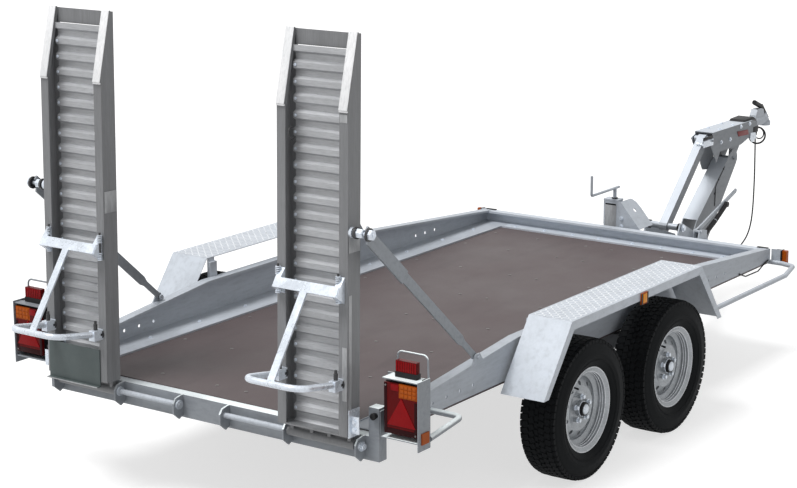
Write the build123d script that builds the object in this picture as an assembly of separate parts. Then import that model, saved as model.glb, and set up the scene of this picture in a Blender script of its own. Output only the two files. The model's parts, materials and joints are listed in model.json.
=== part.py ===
"""Tandem-axle plant trailer with two loading ramps standing upright at the back.

Millimetres. +X is the trailer's right, +Y is forward (towards the coupling), +Z is up.
The tyres and the jack's foot stand on Z = 0, and X = 0 is the centre plane.
Inside the functions Y is counted from the rear face of the rear beam, and
every solid is moved back at the end, so that the origin lies under the middle of the length.
"""
import math
import os

from build123d import *

# Body, over the rail webs and from the rear beam to the front rail
HALF_W = 900
BODY_LEN = 3560
DECK_TOP = 512
DECK_T = 15
SHEET = 4

# Side rails: the top edge climbs to the level stretch over the wheels and falls again
RAIL_TOP_REAR = 575
RAIL_TOP_MID = 683
RAIL_TOP_FRONT = 580
REAR_BEND_Y = 1030
FRONT_BEND_Y = 2300
TOP_FLANGE = 50
TOP_LIP = 12
BOTTOM_FLANGE = 180
FRONT_FLANGE = 120
LIP_H = 9
RAIL_HOLE_D = 16
RAIL_HOLE_Z = 556
RAIL_HOLES_REAR = (373, 475, 576, 675)
RAIL_HOLES_FRONT = (BODY_LEN - 725, BODY_LEN - 634, BODY_LEN - 540)

# Rear beam, corner posts and hinge ears
BEAM_D = 50
BEAM_H = 100
POST_W = 50
POST_TOP = 630
RAMP_X = HALF_W - 259
EAR_X = (RAMP_X - 513, RAMP_X - 179, RAMP_X + 185)
EAR_T = 8
EAR_REACH = 62
EAR_TIP_DROP = 2
EAR_TIP_Y = -26
EAR_CORNER_RISE = 28
HINGE_Y = -32
HINGE_Z = 472
HINGE_ROD_D = 24
PIN_GAP = 0.05

# Frame under the deck
SPINE_X = HALF_W - 420
SPINE_H = 100
SPINE_W = 50
SPINE_T = 6
CROSS_H = 60
CROSS_W = 40
CROSS_COUNT = 7
CROSS_END_X = HALF_W - 40
CROSS_TAPER_X = HALF_W - 260

# Wheels and axles
TYRE_R = 320
TYRE_W = 188
RIM_R = 194
RIM_SEAT_R = 176
RIM_W = 150
WHEEL_X = HALF_W + 128
AXLE_MID_Y = 1695
AXLE_GAP = 800
BOLT_COUNT = 5
BOLT_CIRCLE_R = 56
HUB_R = 34
STUB_D = 44
HAND_HOLES = 10
DRUM_R = 118
DRUM_IN = 38
AXLE_TUBE = 70
AXLE_TUBE_Z = 358
ARM_LEN = 150
ARM_X = HALF_W - 20
ARM_T = 30

# Mudguards: folded plate over both wheels on each side
GUARD_X0 = HALF_W + 16
GUARD_X1 = HALF_W + 234
GUARD_T = 3
GUARD_SKIRT = 40
GUARD_TOP = 774
GUARD_LOW = 472
GUARD_TOP_HALF = 604
GUARD_LOW_HALF = 830

# Ramps, upright and leaning a little forward
RAMP_HALF_W = 174
RAMP_RAIL_W = 42
RAMP_DEPTH = 82
RAMP_LEAN = 1.3
RAMP_REAR_OFF = -67
RAMP_FOOT_Z = 48
RAMP_TOP_Z = 1635
RAMP_BEVEL_Z = 1345
RAMP_BEVEL_D = 66
RAMP_WALL = 6
TREAD_PITCH = 66
TREAD_T = 3
TREAD_RISE = 16
TREAD_DEPTH = 52
END_PLATE_H = 62
BARREL_D = 40
RAMP_PIN_Z = 872
RAMP_PIN_OFF = 22
RAMP_PIN_D = 16

# Support leg on the back of each ramp
LEG_BAR_Z = 659
LEG_BAR_H = 44
LEG_BAR_T = 8
LEG_BAR_OFF = 29
LEG_LOOP_Z = 263
LEG_FOOT_Z = 300
LEG_FOOT_OUT = 266
LEG_TUBE_D = 27
LEG_TUBE_X = 140
LEG_BEND_R = 62
LEG_BRACE_W = 34
LEG_CLAMP_W = 26

# Number plate, as its reach to each side of the left ramp's middle
PLATE_OUT = 136
PLATE_IN = 162

# Stays that hold the ramps up
STAY_X0 = HALF_W - 16
STAY_T = 7
STAY_PIVOT_Y = 712
STAY_PIVOT_RISE = 19
STAY_TAIL_W = 27
STAY_TAIL_LEN = 125
STAY_W = 44
STAY_SLEEVE_W = 58
STAY_SLEEVE_SHARE = 0.33
STAY_PIN_D = 14

# Tail lamp cages
LAMP_X0 = HALF_W + 34
LAMP_X1 = HALF_W + 194
LAMP_Z0 = 545
LAMP_Z1 = 760
CAGE_Y0 = -20
CAGE_Y1 = 64
CAGE_Z0 = 522
CAGE_Z1 = 770
GUARD_WIRE_D = 8
BOW_D = 26
BOW_Y = 365
BOW_BEND_X = HALF_W + 148
FOG_Y0 = 20
FOG_Y1 = 50

# Front corner: marker lamps and the tubes back to the mudguards
SIDE_TUBE_D = 25
SIDE_TUBE_X = HALF_W + 191
SIDE_TUBE_BEND_Y = BODY_LEN - 220
SIDE_TUBE_Z = 505
MARKER_X0 = HALF_W - 4
MARKER_SPLIT_X = HALF_W + 54
MARKER_X1 = HALF_W + 81
MARKER_Z0 = 492
MARKER_Z1 = 574
MARKER_D = 26
MARKER_CABLE_D = 7
CLIP_GAP = 0.3

# Drawbar: a parallel linkage that carries the overrun head level
ARM_LOW = (BODY_LEN + 821, 340)
LINK_LOW = (BODY_LEN + 504, 497)
LINK_LEN = 630
LINK_ANGLE = 44.2
ARM_W = 98
ARM_T_WALL = 6
ARM_END_R = 80
ARM_BELLY_AT = 95
ARM_BELLY = 99
ARM_TIP_R = 52
ARM_TOP_GAP = 40
BASE_LEG_H = 90
BASE_LEG_BACK = 440
BASE_LEG_END = 81
LINK_W = 50
LINK_DEPTH = 56
OPEN_PIN_GAP = 1.5
CROSS_TUBE_D = 38
CROSS_TUBE_HALF = 98
CHEEK_X = 104
CHEEK_T = 8
HEAD_Z0 = 850
HEAD_Z1 = 978
HEAD_Y0 = BODY_LEN + 968
HEAD_Y1 = BODY_LEN + 1500
HEAD_W = 118
HEAD_T = 5
TONGUE_Z = 945
TONGUE_D = 50
BALL_D = 50
BALL_Y = HEAD_Y1 + 288
BALL_DROP = 24
LEVER_LOW = (BODY_LEN + 662, 450)
LEVER_TIP = (BODY_LEN + 1162, 607)
LEVER_W = 24
BRAKE_CABLE_D = 4

# Jack
JACK_X = -132
JACK_Y = BODY_LEN + 132
JACK_TUBE_X = 88
JACK_TUBE_Y = 60
JACK_WALL = 6
JACK_TOP = 708
JACK_LOW = 330
JACK_CLEAR = 0.3
FOOT_R = 70
FOOT_T = 8
CRANK_OFF = 8
CRANK_RISE = 60
CRANK_TAIL = 45
CRANK_REACH = 262
CRANK_GRIP = 112
CRANK_D = 15
GUSSET_W = 142
GUSSET_DEEP = 155
GUSSET_HOLE_D = 26

# Cable that hangs from the head, as a hand-picked route from the clip to the plug
CABLE_D = 9
CABLE_ROUTE = [
    (15, HEAD_Y1 + 136, 862), (15, HEAD_Y1 + 139, 800), (15, HEAD_Y1 + 143, 700), (15, HEAD_Y1 + 146, 600),
    (14, HEAD_Y1 + 146, 500), (13, HEAD_Y1 + 143, 400), (11, HEAD_Y1 + 130, 310), (8, HEAD_Y1 + 95, 240),
    (3, HEAD_Y1 + 38, 195), (-2, HEAD_Y1 - 28, 166),
]


def prism_x(outline, x0, x1):
    """Plate with a (y, z) outline between two values of X."""
    face = make_face(Plane.YZ * Polyline(*outline, close=True))
    return Pos(x0, 0, 0) * extrude(face, amount=x1 - x0, dir=(1, 0, 0))


def prism_y(outline, y0, y1):
    """Plate with an (x, z) outline between two values of Y."""
    face = make_face(Plane.XZ * Polyline(*outline, close=True))
    return Pos(0, y0, 0) * extrude(face, amount=y1 - y0, dir=(0, 1, 0))


def prism_z(outline, z0, z1):
    """Plate with an (x, y) outline between two values of Z."""
    face = make_face(Polyline(*outline, close=True))
    return Pos(0, 0, z0) * extrude(face, amount=z1 - z0, dir=(0, 0, 1))


def block(x0, x1, y0, y1, z0, z1):
    return Pos((x0 + x1) / 2, (y0 + y1) / 2, (z0 + z1) / 2) * Box(x1 - x0, y1 - y0, z1 - z0)


def rod(start, end, diameter):
    """Round bar between two points."""
    start, end = Vector(*start), Vector(*end)
    axis = end - start
    return extrude(Plane(origin=start, z_dir=axis) * Circle(diameter / 2), amount=axis.length)


def bent_bar(route, diameter, radius):
    """Round bar along straight runs joined by tangent arcs."""
    path = FilletPolyline(*route, radius=radius)
    return sweep(Plane(origin=path @ 0, z_dir=path % 0) * Circle(diameter / 2), path=path)


def x_rod(x0, x1, y, z, diameter):
    return rod((x0, y, z), (x1, y, z), diameter)


def pair(shape):
    """A right-hand piece and its mirror image on the left."""
    return shape + mirror(shape, about=Plane.YZ)


def rail_top(y):
    """Height of the side rail's top edge at a place along the body."""
    if y < REAR_BEND_Y:
        return RAIL_TOP_REAR + (RAIL_TOP_MID - RAIL_TOP_REAR) * y / REAR_BEND_Y
    if y > FRONT_BEND_Y:
        return RAIL_TOP_MID - (RAIL_TOP_MID - RAIL_TOP_FRONT) * (y - FRONT_BEND_Y) / (BODY_LEN - FRONT_BEND_Y)
    return RAIL_TOP_MID


def band(points, depth):
    """Outline of a strip of the given depth below a line of (y, z) points."""
    return list(points) + [(y, z - depth) for y, z in reversed(points)]


def side_rail():
    """Right side rail: web with holes, top flange with a lip, wide bottom flange with a lip on the deck."""
    ends = (BEAM_D, REAR_BEND_Y, FRONT_BEND_Y, BODY_LEN)
    top_line = [(y, rail_top(y)) for y in ends]
    web = prism_x(top_line + [(BODY_LEN, DECK_TOP), (BEAM_D, DECK_TOP)], HALF_W - SHEET, HALF_W)
    flange = prism_x(band(top_line, SHEET), HALF_W - TOP_FLANGE, HALF_W)
    lip_line = top_line[:-1] + [(BODY_LEN - SHEET, rail_top(BODY_LEN - SHEET))]
    lip = prism_x(band(lip_line, TOP_LIP), HALF_W - TOP_FLANGE, HALF_W - TOP_FLANGE + SHEET)
    foot = block(HALF_W - BOTTOM_FLANGE, HALF_W, BEAM_D, BODY_LEN, DECK_TOP, DECK_TOP + SHEET)
    foot += block(HALF_W - BOTTOM_FLANGE, HALF_W - BOTTOM_FLANGE + SHEET, BEAM_D, BODY_LEN - FRONT_FLANGE,
                  DECK_TOP, DECK_TOP + LIP_H)
    rail = web + flange + lip + foot
    for y in RAIL_HOLES_REAR + RAIL_HOLES_FRONT:
        rail -= x_rod(HALF_W - 2 * SHEET, HALF_W + SHEET, y, RAIL_HOLE_Z, RAIL_HOLE_D)
    return rail


def front_rail():
    """Rail across the front, of the same section as the side rails, between their flanges."""
    x1 = HALF_W - TOP_FLANGE
    y1 = BODY_LEN
    low_x = HALF_W - BOTTOM_FLANGE
    web = block(-HALF_W + SHEET, HALF_W - SHEET, y1 - SHEET, y1, DECK_TOP + SHEET, RAIL_TOP_FRONT - SHEET)
    top = block(-x1, x1, y1 - TOP_FLANGE, y1, RAIL_TOP_FRONT - SHEET, RAIL_TOP_FRONT)
    lip = block(-x1, x1, y1 - TOP_FLANGE, y1 - TOP_FLANGE + SHEET, RAIL_TOP_FRONT - TOP_LIP, RAIL_TOP_FRONT)
    foot = block(-low_x, low_x, y1 - FRONT_FLANGE, y1, DECK_TOP, DECK_TOP + SHEET)
    foot += block(-low_x, low_x, y1 - FRONT_FLANGE, y1 - FRONT_FLANGE + SHEET, DECK_TOP, DECK_TOP + LIP_H)
    return web + top + lip + foot


def deck():
    """Plywood floor between the rails, on the frame and under the flanges."""
    x = HALF_W - 3 * SHEET
    return block(-x, x, BEAM_D, BODY_LEN - 3 * SHEET, DECK_TOP - DECK_T, DECK_TOP)


def ear_outline():
    """Hinge ear seen from the side: rounded round the rod, with a pointed foot below the beam."""
    top = DECK_TOP - SHEET
    low = top - BEAM_H
    return [(0, top), (-14, top), (-EAR_REACH + 16, HINGE_Z + 30), (-EAR_REACH, HINGE_Z + 8),
            (-EAR_REACH, low + EAR_CORNER_RISE), (EAR_TIP_Y, low - EAR_TIP_DROP), (0, low + 12)]


def rear_beam():
    """Box beam with its two corner posts and the six hinge ears."""
    top = DECK_TOP - SHEET
    low = top - BEAM_H
    inner = HALF_W - POST_W
    beam = block(-inner, inner, 0, BEAM_D, low, top)
    beam += pair(block(inner, HALF_W, 0, BEAM_D, low, POST_TOP))
    for x in EAR_X:
        beam += pair(prism_x(ear_outline(), x - EAR_T / 2, x + EAR_T / 2))
    for x in (EAR_X[0], EAR_X[1], EAR_X[2]):
        hole = x_rod(x - EAR_T, x + EAR_T, HINGE_Y, HINGE_Z, HINGE_ROD_D + 2 * PIN_GAP)
        beam -= pair(hole)
    return beam


def hinge_rods():
    """One rod through the three ears of each side, with a collar at each end and beside the middle ear."""
    x0, x1 = EAR_X[0] - EAR_T / 2 - 14, EAR_X[2] + EAR_T / 2 + 14
    rods = x_rod(x0, x1, HINGE_Y, HINGE_Z, HINGE_ROD_D)
    for x in (EAR_X[0] - EAR_T / 2 - 10, EAR_X[1] - EAR_T / 2 - 10, EAR_X[2] + EAR_T / 2):
        rods += x_rod(x, x + 10, HINGE_Y, HINGE_Z, HINGE_ROD_D + 14)
    return pair(rods)


def cross_members():
    """Crosswise channels under the deck with tapered ends, cut where the lengthwise ones pass."""
    top = DECK_TOP - DECK_T
    low = top - CROSS_H
    end_low = top - 16
    outline = [(-CROSS_END_X, top), (CROSS_END_X, top), (CROSS_END_X, end_low), (CROSS_TAPER_X, low),
               (-CROSS_TAPER_X, low), (-CROSS_END_X, end_low)]
    first, last = 320.0, BODY_LEN - 140.0
    members = None
    for i in range(CROSS_COUNT):
        y = first + (last - first) * i / (CROSS_COUNT - 1)
        one = prism_y(outline, y, y + SPINE_T)
        one += block(-CROSS_END_X, CROSS_END_X, y, y + CROSS_W, top - SPINE_T, top)
        one += block(-CROSS_TAPER_X, CROSS_TAPER_X, y, y + CROSS_W, low, low + SPINE_T)
        members = one if members is None else members + one
    return members - spines()


def spines():
    """The two lengthwise channels, with the crosswise ones welded to their sides."""
    top = DECK_TOP - DECK_T
    low = top - SPINE_H
    y1 = BODY_LEN - SHEET
    web = block(SPINE_X, SPINE_X + SPINE_T, BEAM_D, y1, low, top)
    web += block(SPINE_X - SPINE_W, SPINE_X, BEAM_D, y1, low, low + SPINE_T)
    web += block(SPINE_X - SPINE_W, SPINE_X, BEAM_D, y1, top - SPINE_T, top)
    return pair(web)


def wheel_ys():
    return (AXLE_MID_Y - AXLE_GAP / 2, AXLE_MID_Y + AXLE_GAP / 2)


def axle_beams():
    """Rubber-suspension axle tubes with their brackets, the trailing arms, the stubs and the brake back plates."""
    low = DECK_TOP - DECK_T - SPINE_H
    half = AXLE_TUBE / 2
    plate_x = WHEEL_X - DRUM_IN - 8
    beams = None
    for wheel_y in wheel_ys():
        tube_y = wheel_y + ARM_LEN
        one = block(-ARM_X, ARM_X, tube_y - half, tube_y + half, AXLE_TUBE_Z - half, AXLE_TUBE_Z + half)
        bracket = [(tube_y - 70, low), (tube_y + 70, low), (tube_y + half + 6, AXLE_TUBE_Z - half),
                   (tube_y - half - 6, AXLE_TUBE_Z - half)]
        one += pair(prism_x(bracket, SPINE_X - 5, SPINE_X + 5))
        arm = [(tube_y - 30, AXLE_TUBE_Z - 34), (tube_y + 34, AXLE_TUBE_Z - 26), (tube_y + 34, AXLE_TUBE_Z + 26),
               (tube_y - 10, AXLE_TUBE_Z + 34), (wheel_y - 34, TYRE_R + 30), (wheel_y - 34, TYRE_R - 30)]
        one += pair(prism_x(arm, ARM_X - 1, ARM_X + ARM_T))
        one += pair(x_rod(ARM_X + ARM_T - 1, plate_x, wheel_y, TYRE_R, STUB_D + 20))
        one += pair(x_rod(plate_x, plate_x + 6, wheel_y, TYRE_R, 2 * DRUM_R))
        one += pair(x_rod(plate_x - 1, WHEEL_X + 28, wheel_y, TYRE_R, STUB_D))
        beams = one if beams is None else beams + one
    return beams


def rim_section():
    """Half section of the rim, as (x from the wheel's middle, radius), going from the inner flange outwards."""
    half = RIM_W / 2
    well = RIM_SEAT_R - 26
    return [(-half, RIM_R), (-half + 8, RIM_SEAT_R), (-20, RIM_SEAT_R - 2), (-8, well), (18, well), (30, RIM_SEAT_R - 2),
            (half - 8, RIM_SEAT_R), (half, RIM_R), (half, RIM_R - 5), (half - 11, RIM_SEAT_R - 6), (32, RIM_SEAT_R - 8),
            (20, well - 5), (-10, well - 5), (-22, RIM_SEAT_R - 8), (-half + 5, RIM_SEAT_R - 6), (-half, RIM_R - 5)]


def disc_section():
    """Half section of the pressed disc, its hub and the hub cap, as (x from the wheel's middle, radius)."""
    well = RIM_SEAT_R - 28
    bore = STUB_D / 2 + PIN_GAP
    return [(12, well), (26, well - 26), (36, BOLT_CIRCLE_R + 44), (28, BOLT_CIRCLE_R + 20), (28, HUB_R), (46, HUB_R),
            (46, HUB_R - 8), (60, HUB_R - 12), (60, 0), (30, 0), (30, bore), (12, bore),
            (12, BOLT_CIRCLE_R + 22), (29, BOLT_CIRCLE_R + 42), (20, well - 30), (5, well)]


def drum_section():
    """Half section of the brake drum, a cup open inwards, as (x from the wheel's middle, radius)."""
    bore = STUB_D / 2 + PIN_GAP
    return [(-DRUM_IN, DRUM_R), (18, DRUM_R), (18, bore), (-DRUM_IN + 14, bore), (-DRUM_IN + 14, bore + 22),
            (6, bore + 22), (6, DRUM_R - 9), (-DRUM_IN, DRUM_R - 9)]


def revolve_x(section):
    """Turned piece about X from an outline of (x, radius) points."""
    face = make_face(Polyline(*section, close=True))
    return revolve(face, axis=Axis.X)


def wheel_rim():
    """Steel wheel with its disc, hand holes, bolts, hub cap and brake drum, centred on the origin."""
    rim = revolve_x(rim_section()) + revolve_x(disc_section()) + revolve_x(drum_section())
    for i in range(HAND_HOLES):
        rim -= Rot(i * 360 / HAND_HOLES, 0, 0) * x_rod(10, 60, 0, BOLT_CIRCLE_R + 60, 20)
    for i in range(BOLT_COUNT):
        rim += Rot(i * 360 / BOLT_COUNT, 0, 0) * x_rod(24, 42, 0, BOLT_CIRCLE_R, 22)
    return rim


def tyre():
    """Tyre on its rim, as a turned shell with rounded shoulders."""
    half = TYRE_W / 2
    seat = RIM_W / 2
    section = make_face(Polyline(
        (-seat + 9, RIM_SEAT_R + 1), (-seat - 1, RIM_R + 3), (-half, RIM_R + 45), (-half + 3, TYRE_R - 55),
        (-half + 14, TYRE_R - 22), (-half + 34, TYRE_R - 4), (-30, TYRE_R), (30, TYRE_R), (half - 34, TYRE_R - 4),
        (half - 14, TYRE_R - 22), (half - 3, TYRE_R - 55), (half, RIM_R + 45), (seat + 1, RIM_R + 3),
        (seat - 9, RIM_SEAT_R + 1), (seat - 16, RIM_SEAT_R + 24), (half - 16, RIM_R + 48), (half - 24, TYRE_R - 40),
        (-half + 24, TYRE_R - 40), (-half + 16, RIM_R + 48), (-seat + 16, RIM_SEAT_R + 24), close=True))
    return revolve(section, axis=Axis.X)


def guard_line(offset):
    """Mudguard seen from the side, as four (y, z) points, moved inwards by an offset."""
    low, top = GUARD_LOW_HALF - offset, GUARD_TOP_HALF - offset / 2
    return [(AXLE_MID_Y - low, GUARD_LOW), (AXLE_MID_Y - top, GUARD_TOP - offset),
            (AXLE_MID_Y + top, GUARD_TOP - offset), (AXLE_MID_Y + low, GUARD_LOW)]


def mudguard():
    """Right mudguard: trapezoid of folded plate, open below, with an outer skirt and two brackets to the rail."""
    outer = guard_line(0)
    guard = prism_x(outer + guard_line(GUARD_T)[::-1], GUARD_X0, GUARD_X1)
    guard += prism_x(outer + guard_line(GUARD_SKIRT)[::-1], GUARD_X1 - GUARD_T, GUARD_X1)
    rise = RAIL_TOP_MID - 40
    for y in (AXLE_MID_Y - GUARD_TOP_HALF + 30, AXLE_MID_Y + GUARD_TOP_HALF - 30):
        guard += block(HALF_W, GUARD_X0 + 3, y - 25, y + 25, rise, GUARD_TOP - 20)
        guard += block(GUARD_X0, GUARD_X0 + 3, y - 25, y + 25, rise, GUARD_TOP - 1)
    return guard


def ramp_place(shape):
    """Move a ramp piece drawn upright round the hinge axis to its place, leaning forward."""
    return Pos(RAMP_X, HINGE_Y, HINGE_Z) * Rot(-RAMP_LEAN, 0, 0) * shape


def ramp_rail_outline():
    """Ramp rail seen from the side: straight back, bevelled at the toe, square at the foot."""
    back, front = RAMP_REAR_OFF, RAMP_REAR_OFF + RAMP_DEPTH
    return [(back, RAMP_FOOT_Z), (front, RAMP_FOOT_Z), (front, RAMP_TOP_Z), (back + RAMP_BEVEL_D, RAMP_TOP_Z),
            (back, RAMP_BEVEL_Z)]


def ramp_frame():
    """Two channel rails, the bevel caps, the end plate, the foot plate and the hinge barrel with its straps."""
    back, front = RAMP_REAR_OFF, RAMP_REAR_OFF + RAMP_DEPTH
    rail = None
    for x0, open_side in ((-RAMP_HALF_W, 1), (RAMP_HALF_W - RAMP_RAIL_W, -1)):
        one = prism_x(ramp_rail_outline(), x0, x0 + RAMP_RAIL_W)
        cut0 = x0 + (RAMP_WALL if open_side > 0 else -1)
        cut = [(back + RAMP_WALL, RAMP_FOOT_Z - 1), (front - RAMP_WALL, RAMP_FOOT_Z - 1),
               (front - RAMP_WALL, RAMP_TOP_Z - RAMP_WALL), (back + RAMP_BEVEL_D, RAMP_TOP_Z - RAMP_WALL - 30),
               (back + RAMP_WALL, RAMP_BEVEL_Z - 20)]
        one -= prism_x(cut, cut0, cut0 + RAMP_RAIL_W - RAMP_WALL + 1)
        cap = [(back, RAMP_BEVEL_Z), (back + RAMP_BEVEL_D, RAMP_TOP_Z), (back + RAMP_BEVEL_D, RAMP_TOP_Z + 5),
               (back + RAMP_BEVEL_D - 6, RAMP_TOP_Z + 5), (back - 5, RAMP_BEVEL_Z)]
        one += prism_x(cap, x0, x0 + RAMP_RAIL_W)
        rail = one if rail is None else rail + one
    inner = RAMP_HALF_W - RAMP_RAIL_W
    rail += block(-inner - 1, inner + 1, front - 12, front - 6, RAMP_TOP_Z - END_PLATE_H, RAMP_TOP_Z)
    rail += block(-RAMP_HALF_W, RAMP_HALF_W, back, front, RAMP_FOOT_Z, RAMP_FOOT_Z + RAMP_WALL)
    barrel_half = RAMP_HALF_W - 6
    for x in (-inner - 12, -inner / 3, inner / 3, inner + 12):
        rail += block(x - 8, x + 8, -14, 14, 0, RAMP_FOOT_Z + 2)
    rail += x_rod(-barrel_half, barrel_half, 0, 0, BARREL_D)
    rail -= x_rod(-RAMP_HALF_W, RAMP_HALF_W, 0, 0, HINGE_ROD_D + 2 * PIN_GAP)
    return rail


def ramp_treads():
    """Pressed tread planks between the rails: a folded sheet with one step for each pitch."""
    deep = RAMP_REAR_OFF + TREAD_DEPTH + TREAD_T
    front = deep + TREAD_RISE
    inner = RAMP_HALF_W - RAMP_RAIL_W
    low = RAMP_FOOT_Z + RAMP_WALL
    count = int((RAMP_TOP_Z - END_PLATE_H - low) // TREAD_PITCH)
    line = []
    for i in range(count):
        z = low + i * TREAD_PITCH
        line += [(deep, z), (front, z + 0.16 * TREAD_PITCH), (front, z + 0.50 * TREAD_PITCH), (deep, z + 0.66 * TREAD_PITCH)]
    line.append((deep, RAMP_TOP_Z - END_PLATE_H))
    return prism_x(line + [(y - TREAD_T, z) for y, z in reversed(line)], -inner, inner)


def ramp_leg():
    """Support leg on the ramp's back: flat cross bar on two clamps, bent tube foot and the flat brace between them."""
    back = RAMP_REAR_OFF
    top = Vector(0, back - LEG_BAR_OFF, LEG_BAR_Z)
    foot = Vector(0, back - LEG_FOOT_OUT, LEG_FOOT_Z)
    down = (foot - top).normalized()
    out = Vector(0, down.Z, -down.Y) * (LEG_BAR_T / 2)
    low = top + down * LEG_BAR_H
    clamp_x = RAMP_HALF_W - RAMP_RAIL_W / 2 - 6
    bar_half = clamp_x + 10

    def strip(start, end, half_x):
        outline = [(p.Y, p.Z) for p in (start + out, end + out, end - out, start - out)]
        return prism_x(outline, -half_x, half_x)

    leg = strip(top, low, bar_half) + strip(low - down, foot, LEG_BRACE_W / 2)
    clamp = [(back, LEG_BAR_Z + 34), (back, low.Z - 34), (low.Y, low.Z), (top.Y, top.Z)]
    x = LEG_TUBE_X
    root = back - LEG_TUBE_D / 2
    leg += bent_bar([(x, root, LEG_LOOP_Z), (x, foot.Y, foot.Z), (-x, foot.Y, foot.Z), (-x, root, LEG_LOOP_Z)],
                    LEG_TUBE_D, LEG_BEND_R)
    for side in (-1, 1):
        leg += prism_x(clamp, side * clamp_x - LEG_CLAMP_W / 2, side * clamp_x + LEG_CLAMP_W / 2)
        leg += block(side * x - 16, side * x + 16, back - 2 * LEG_TUBE_D, back, LEG_LOOP_Z - 22, LEG_LOOP_Z + 22)
    return leg


def ramp_side_pin():
    """Pin on the ramp's outer side that the stay holds, with its washer and knob."""
    x0 = RAMP_HALF_W
    y = RAMP_REAR_OFF + RAMP_PIN_OFF
    end = STAY_X0 - RAMP_X + STAY_T
    pin = x_rod(x0, end + 34, y, RAMP_PIN_Z, RAMP_PIN_D)
    pin += x_rod(x0, x0 + 14, y, RAMP_PIN_Z, 42)
    pin += x_rod(end + 6, end + 12, y, RAMP_PIN_Z, 44)
    pin += x_rod(end + 12, end + 30, y, RAMP_PIN_Z, 28)
    return pin


def ramp_pin_place():
    """Where the right ramp's side pin is, as (y, z)."""
    spot = ramp_place(Pos(0, RAMP_REAR_OFF + RAMP_PIN_OFF, RAMP_PIN_Z) * Box(1, 1, 1)).center()
    return spot.Y, spot.Z


def stay_pivot():
    return STAY_PIVOT_Y, rail_top(STAY_PIVOT_Y) + STAY_PIVOT_RISE


def stay():
    """Right stay: flat bar with a wider upper sleeve and an open seat for the ramp's pin."""
    y0, z0 = stay_pivot()
    y1, z1 = ramp_pin_place()
    length = math.hypot(y1 - y0, z1 - z0)
    angle = math.degrees(math.atan2(z1 - z0, y1 - y0))
    split = length * (1 - STAY_SLEEVE_SHARE)
    half, wide, tail = STAY_W / 2, STAY_SLEEVE_W / 2, STAY_TAIL_W / 2
    bar = prism_x([(0, -tail), (STAY_TAIL_LEN, -tail), (STAY_TAIL_LEN + 30, -half), (length, -half), (length, half),
                   (STAY_TAIL_LEN + 30, half), (STAY_TAIL_LEN, tail), (0, tail)], 0, STAY_T)
    bar += prism_x([(split, -wide), (length + 14, -wide), (length + 14, wide), (split, wide)], -1, STAY_T + 1)
    bar += x_rod(0, STAY_T, 0, 0, STAY_TAIL_W)
    seat_r = RAMP_PIN_D / 2 + 1.5
    bar -= x_rod(-5, STAY_T + 5, length, 0, 2 * seat_r)
    bar -= prism_x([(length - 2, -seat_r), (length + 40, -seat_r), (length + 40, wide + 2), (length - 28, wide + 2),
                    (length - seat_r, 0)], -5, STAY_T + 5)
    bar -= x_rod(-5, STAY_T + 5, 0, 0, STAY_PIN_D + 2 * PIN_GAP)
    return Pos(STAY_X0, y0, z0) * Rot(angle, 0, 0) * bar


def stay_lug():
    """Lug on the rail's top flange with the stay's pivot pin."""
    y0, z0 = stay_pivot()
    x0, x1 = STAY_X0 + STAY_T + 3, HALF_W
    lug = prism_x([(y0 - 38, rail_top(y0 - 38)), (y0 + 38, rail_top(y0 + 38)), (y0 + 16, z0 + 16), (y0 - 16, z0 + 16)],
                  x0, x1)
    lug += x_rod(STAY_X0 - 8, x1 + 8, y0, z0, STAY_PIN_D)
    lug += x_rod(STAY_X0 - 12, STAY_X0 - 4, y0, z0, STAY_PIN_D + 10)
    return lug


def lamp_cage():
    """Sheet cage round the right tail lamp, with the wire guard above and the tube bow in front."""
    t = SHEET
    x0, x1 = HALF_W, LAMP_X1 + 8
    cage = block(x0, x1, CAGE_Y1 - t, CAGE_Y1, CAGE_Z0, CAGE_Z1)
    cage += block(x1 - t, x1, CAGE_Y0, CAGE_Y1, CAGE_Z0 - 30, CAGE_Z1 + 6)
    cage += block(x0 + 20, x1, CAGE_Y0 + 6, CAGE_Y1, CAGE_Z0, CAGE_Z0 + t)
    cage += block(LAMP_X0 - 8, x1, CAGE_Y0 + 6, CAGE_Y1, CAGE_Z1 - t, CAGE_Z1)
    cage += block(x0, x0 + t, 4, CAGE_Y1, CAGE_Z0, POST_TOP - 10)
    y = CAGE_Y1 + GUARD_WIRE_D / 2 - 0.5
    cage += bent_bar([(LAMP_X0 + 6, y, CAGE_Z1 - 30), (LAMP_X0 + 12, y, CAGE_Z1 + 92), (LAMP_X1 - 6, y, CAGE_Z1 + 92),
                      (LAMP_X1 - 2, y, CAGE_Z1 - 30)], GUARD_WIRE_D, 22)
    z = DECK_TOP + BOW_D / 2 + 2
    cage += bent_bar([(HALF_W, BOW_Y, z), (BOW_BEND_X, BOW_Y, z), (x1 - 5, CAGE_Y1 - 2, z)], BOW_D, 42)
    return cage


def tail_lamps():
    """Lamp bodies of the right side: the main lamp in its cage and the fog lamp on top."""
    body = block(LAMP_X0, LAMP_X1, 0, CAGE_Y1 - SHEET, LAMP_Z0, LAMP_Z1 - 4)
    body += block(LAMP_X0 + 30, LAMP_X1 - 28, FOG_Y0, FOG_Y1, CAGE_Z1, CAGE_Z1 + 22)
    return body


def tail_lenses():
    """Red lenses of the right side, on the lamp bodies."""
    split = LAMP_X0 + 0.45 * (LAMP_X1 - LAMP_X0)
    lens = block(LAMP_X0 + 2, LAMP_X1 - 2, -14, 0, LAMP_Z0 + 2, LAMP_Z1 - 62)
    lens += block(LAMP_X0 + 2, split, -14, 0, LAMP_Z1 - 62, LAMP_Z1 - 6)
    lens += block(LAMP_X0 + 32, LAMP_X1 - 30, FOG_Y0 + 2, FOG_Y1 - 4, CAGE_Z1 + 22, CAGE_Z1 + 68)
    return lens


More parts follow.
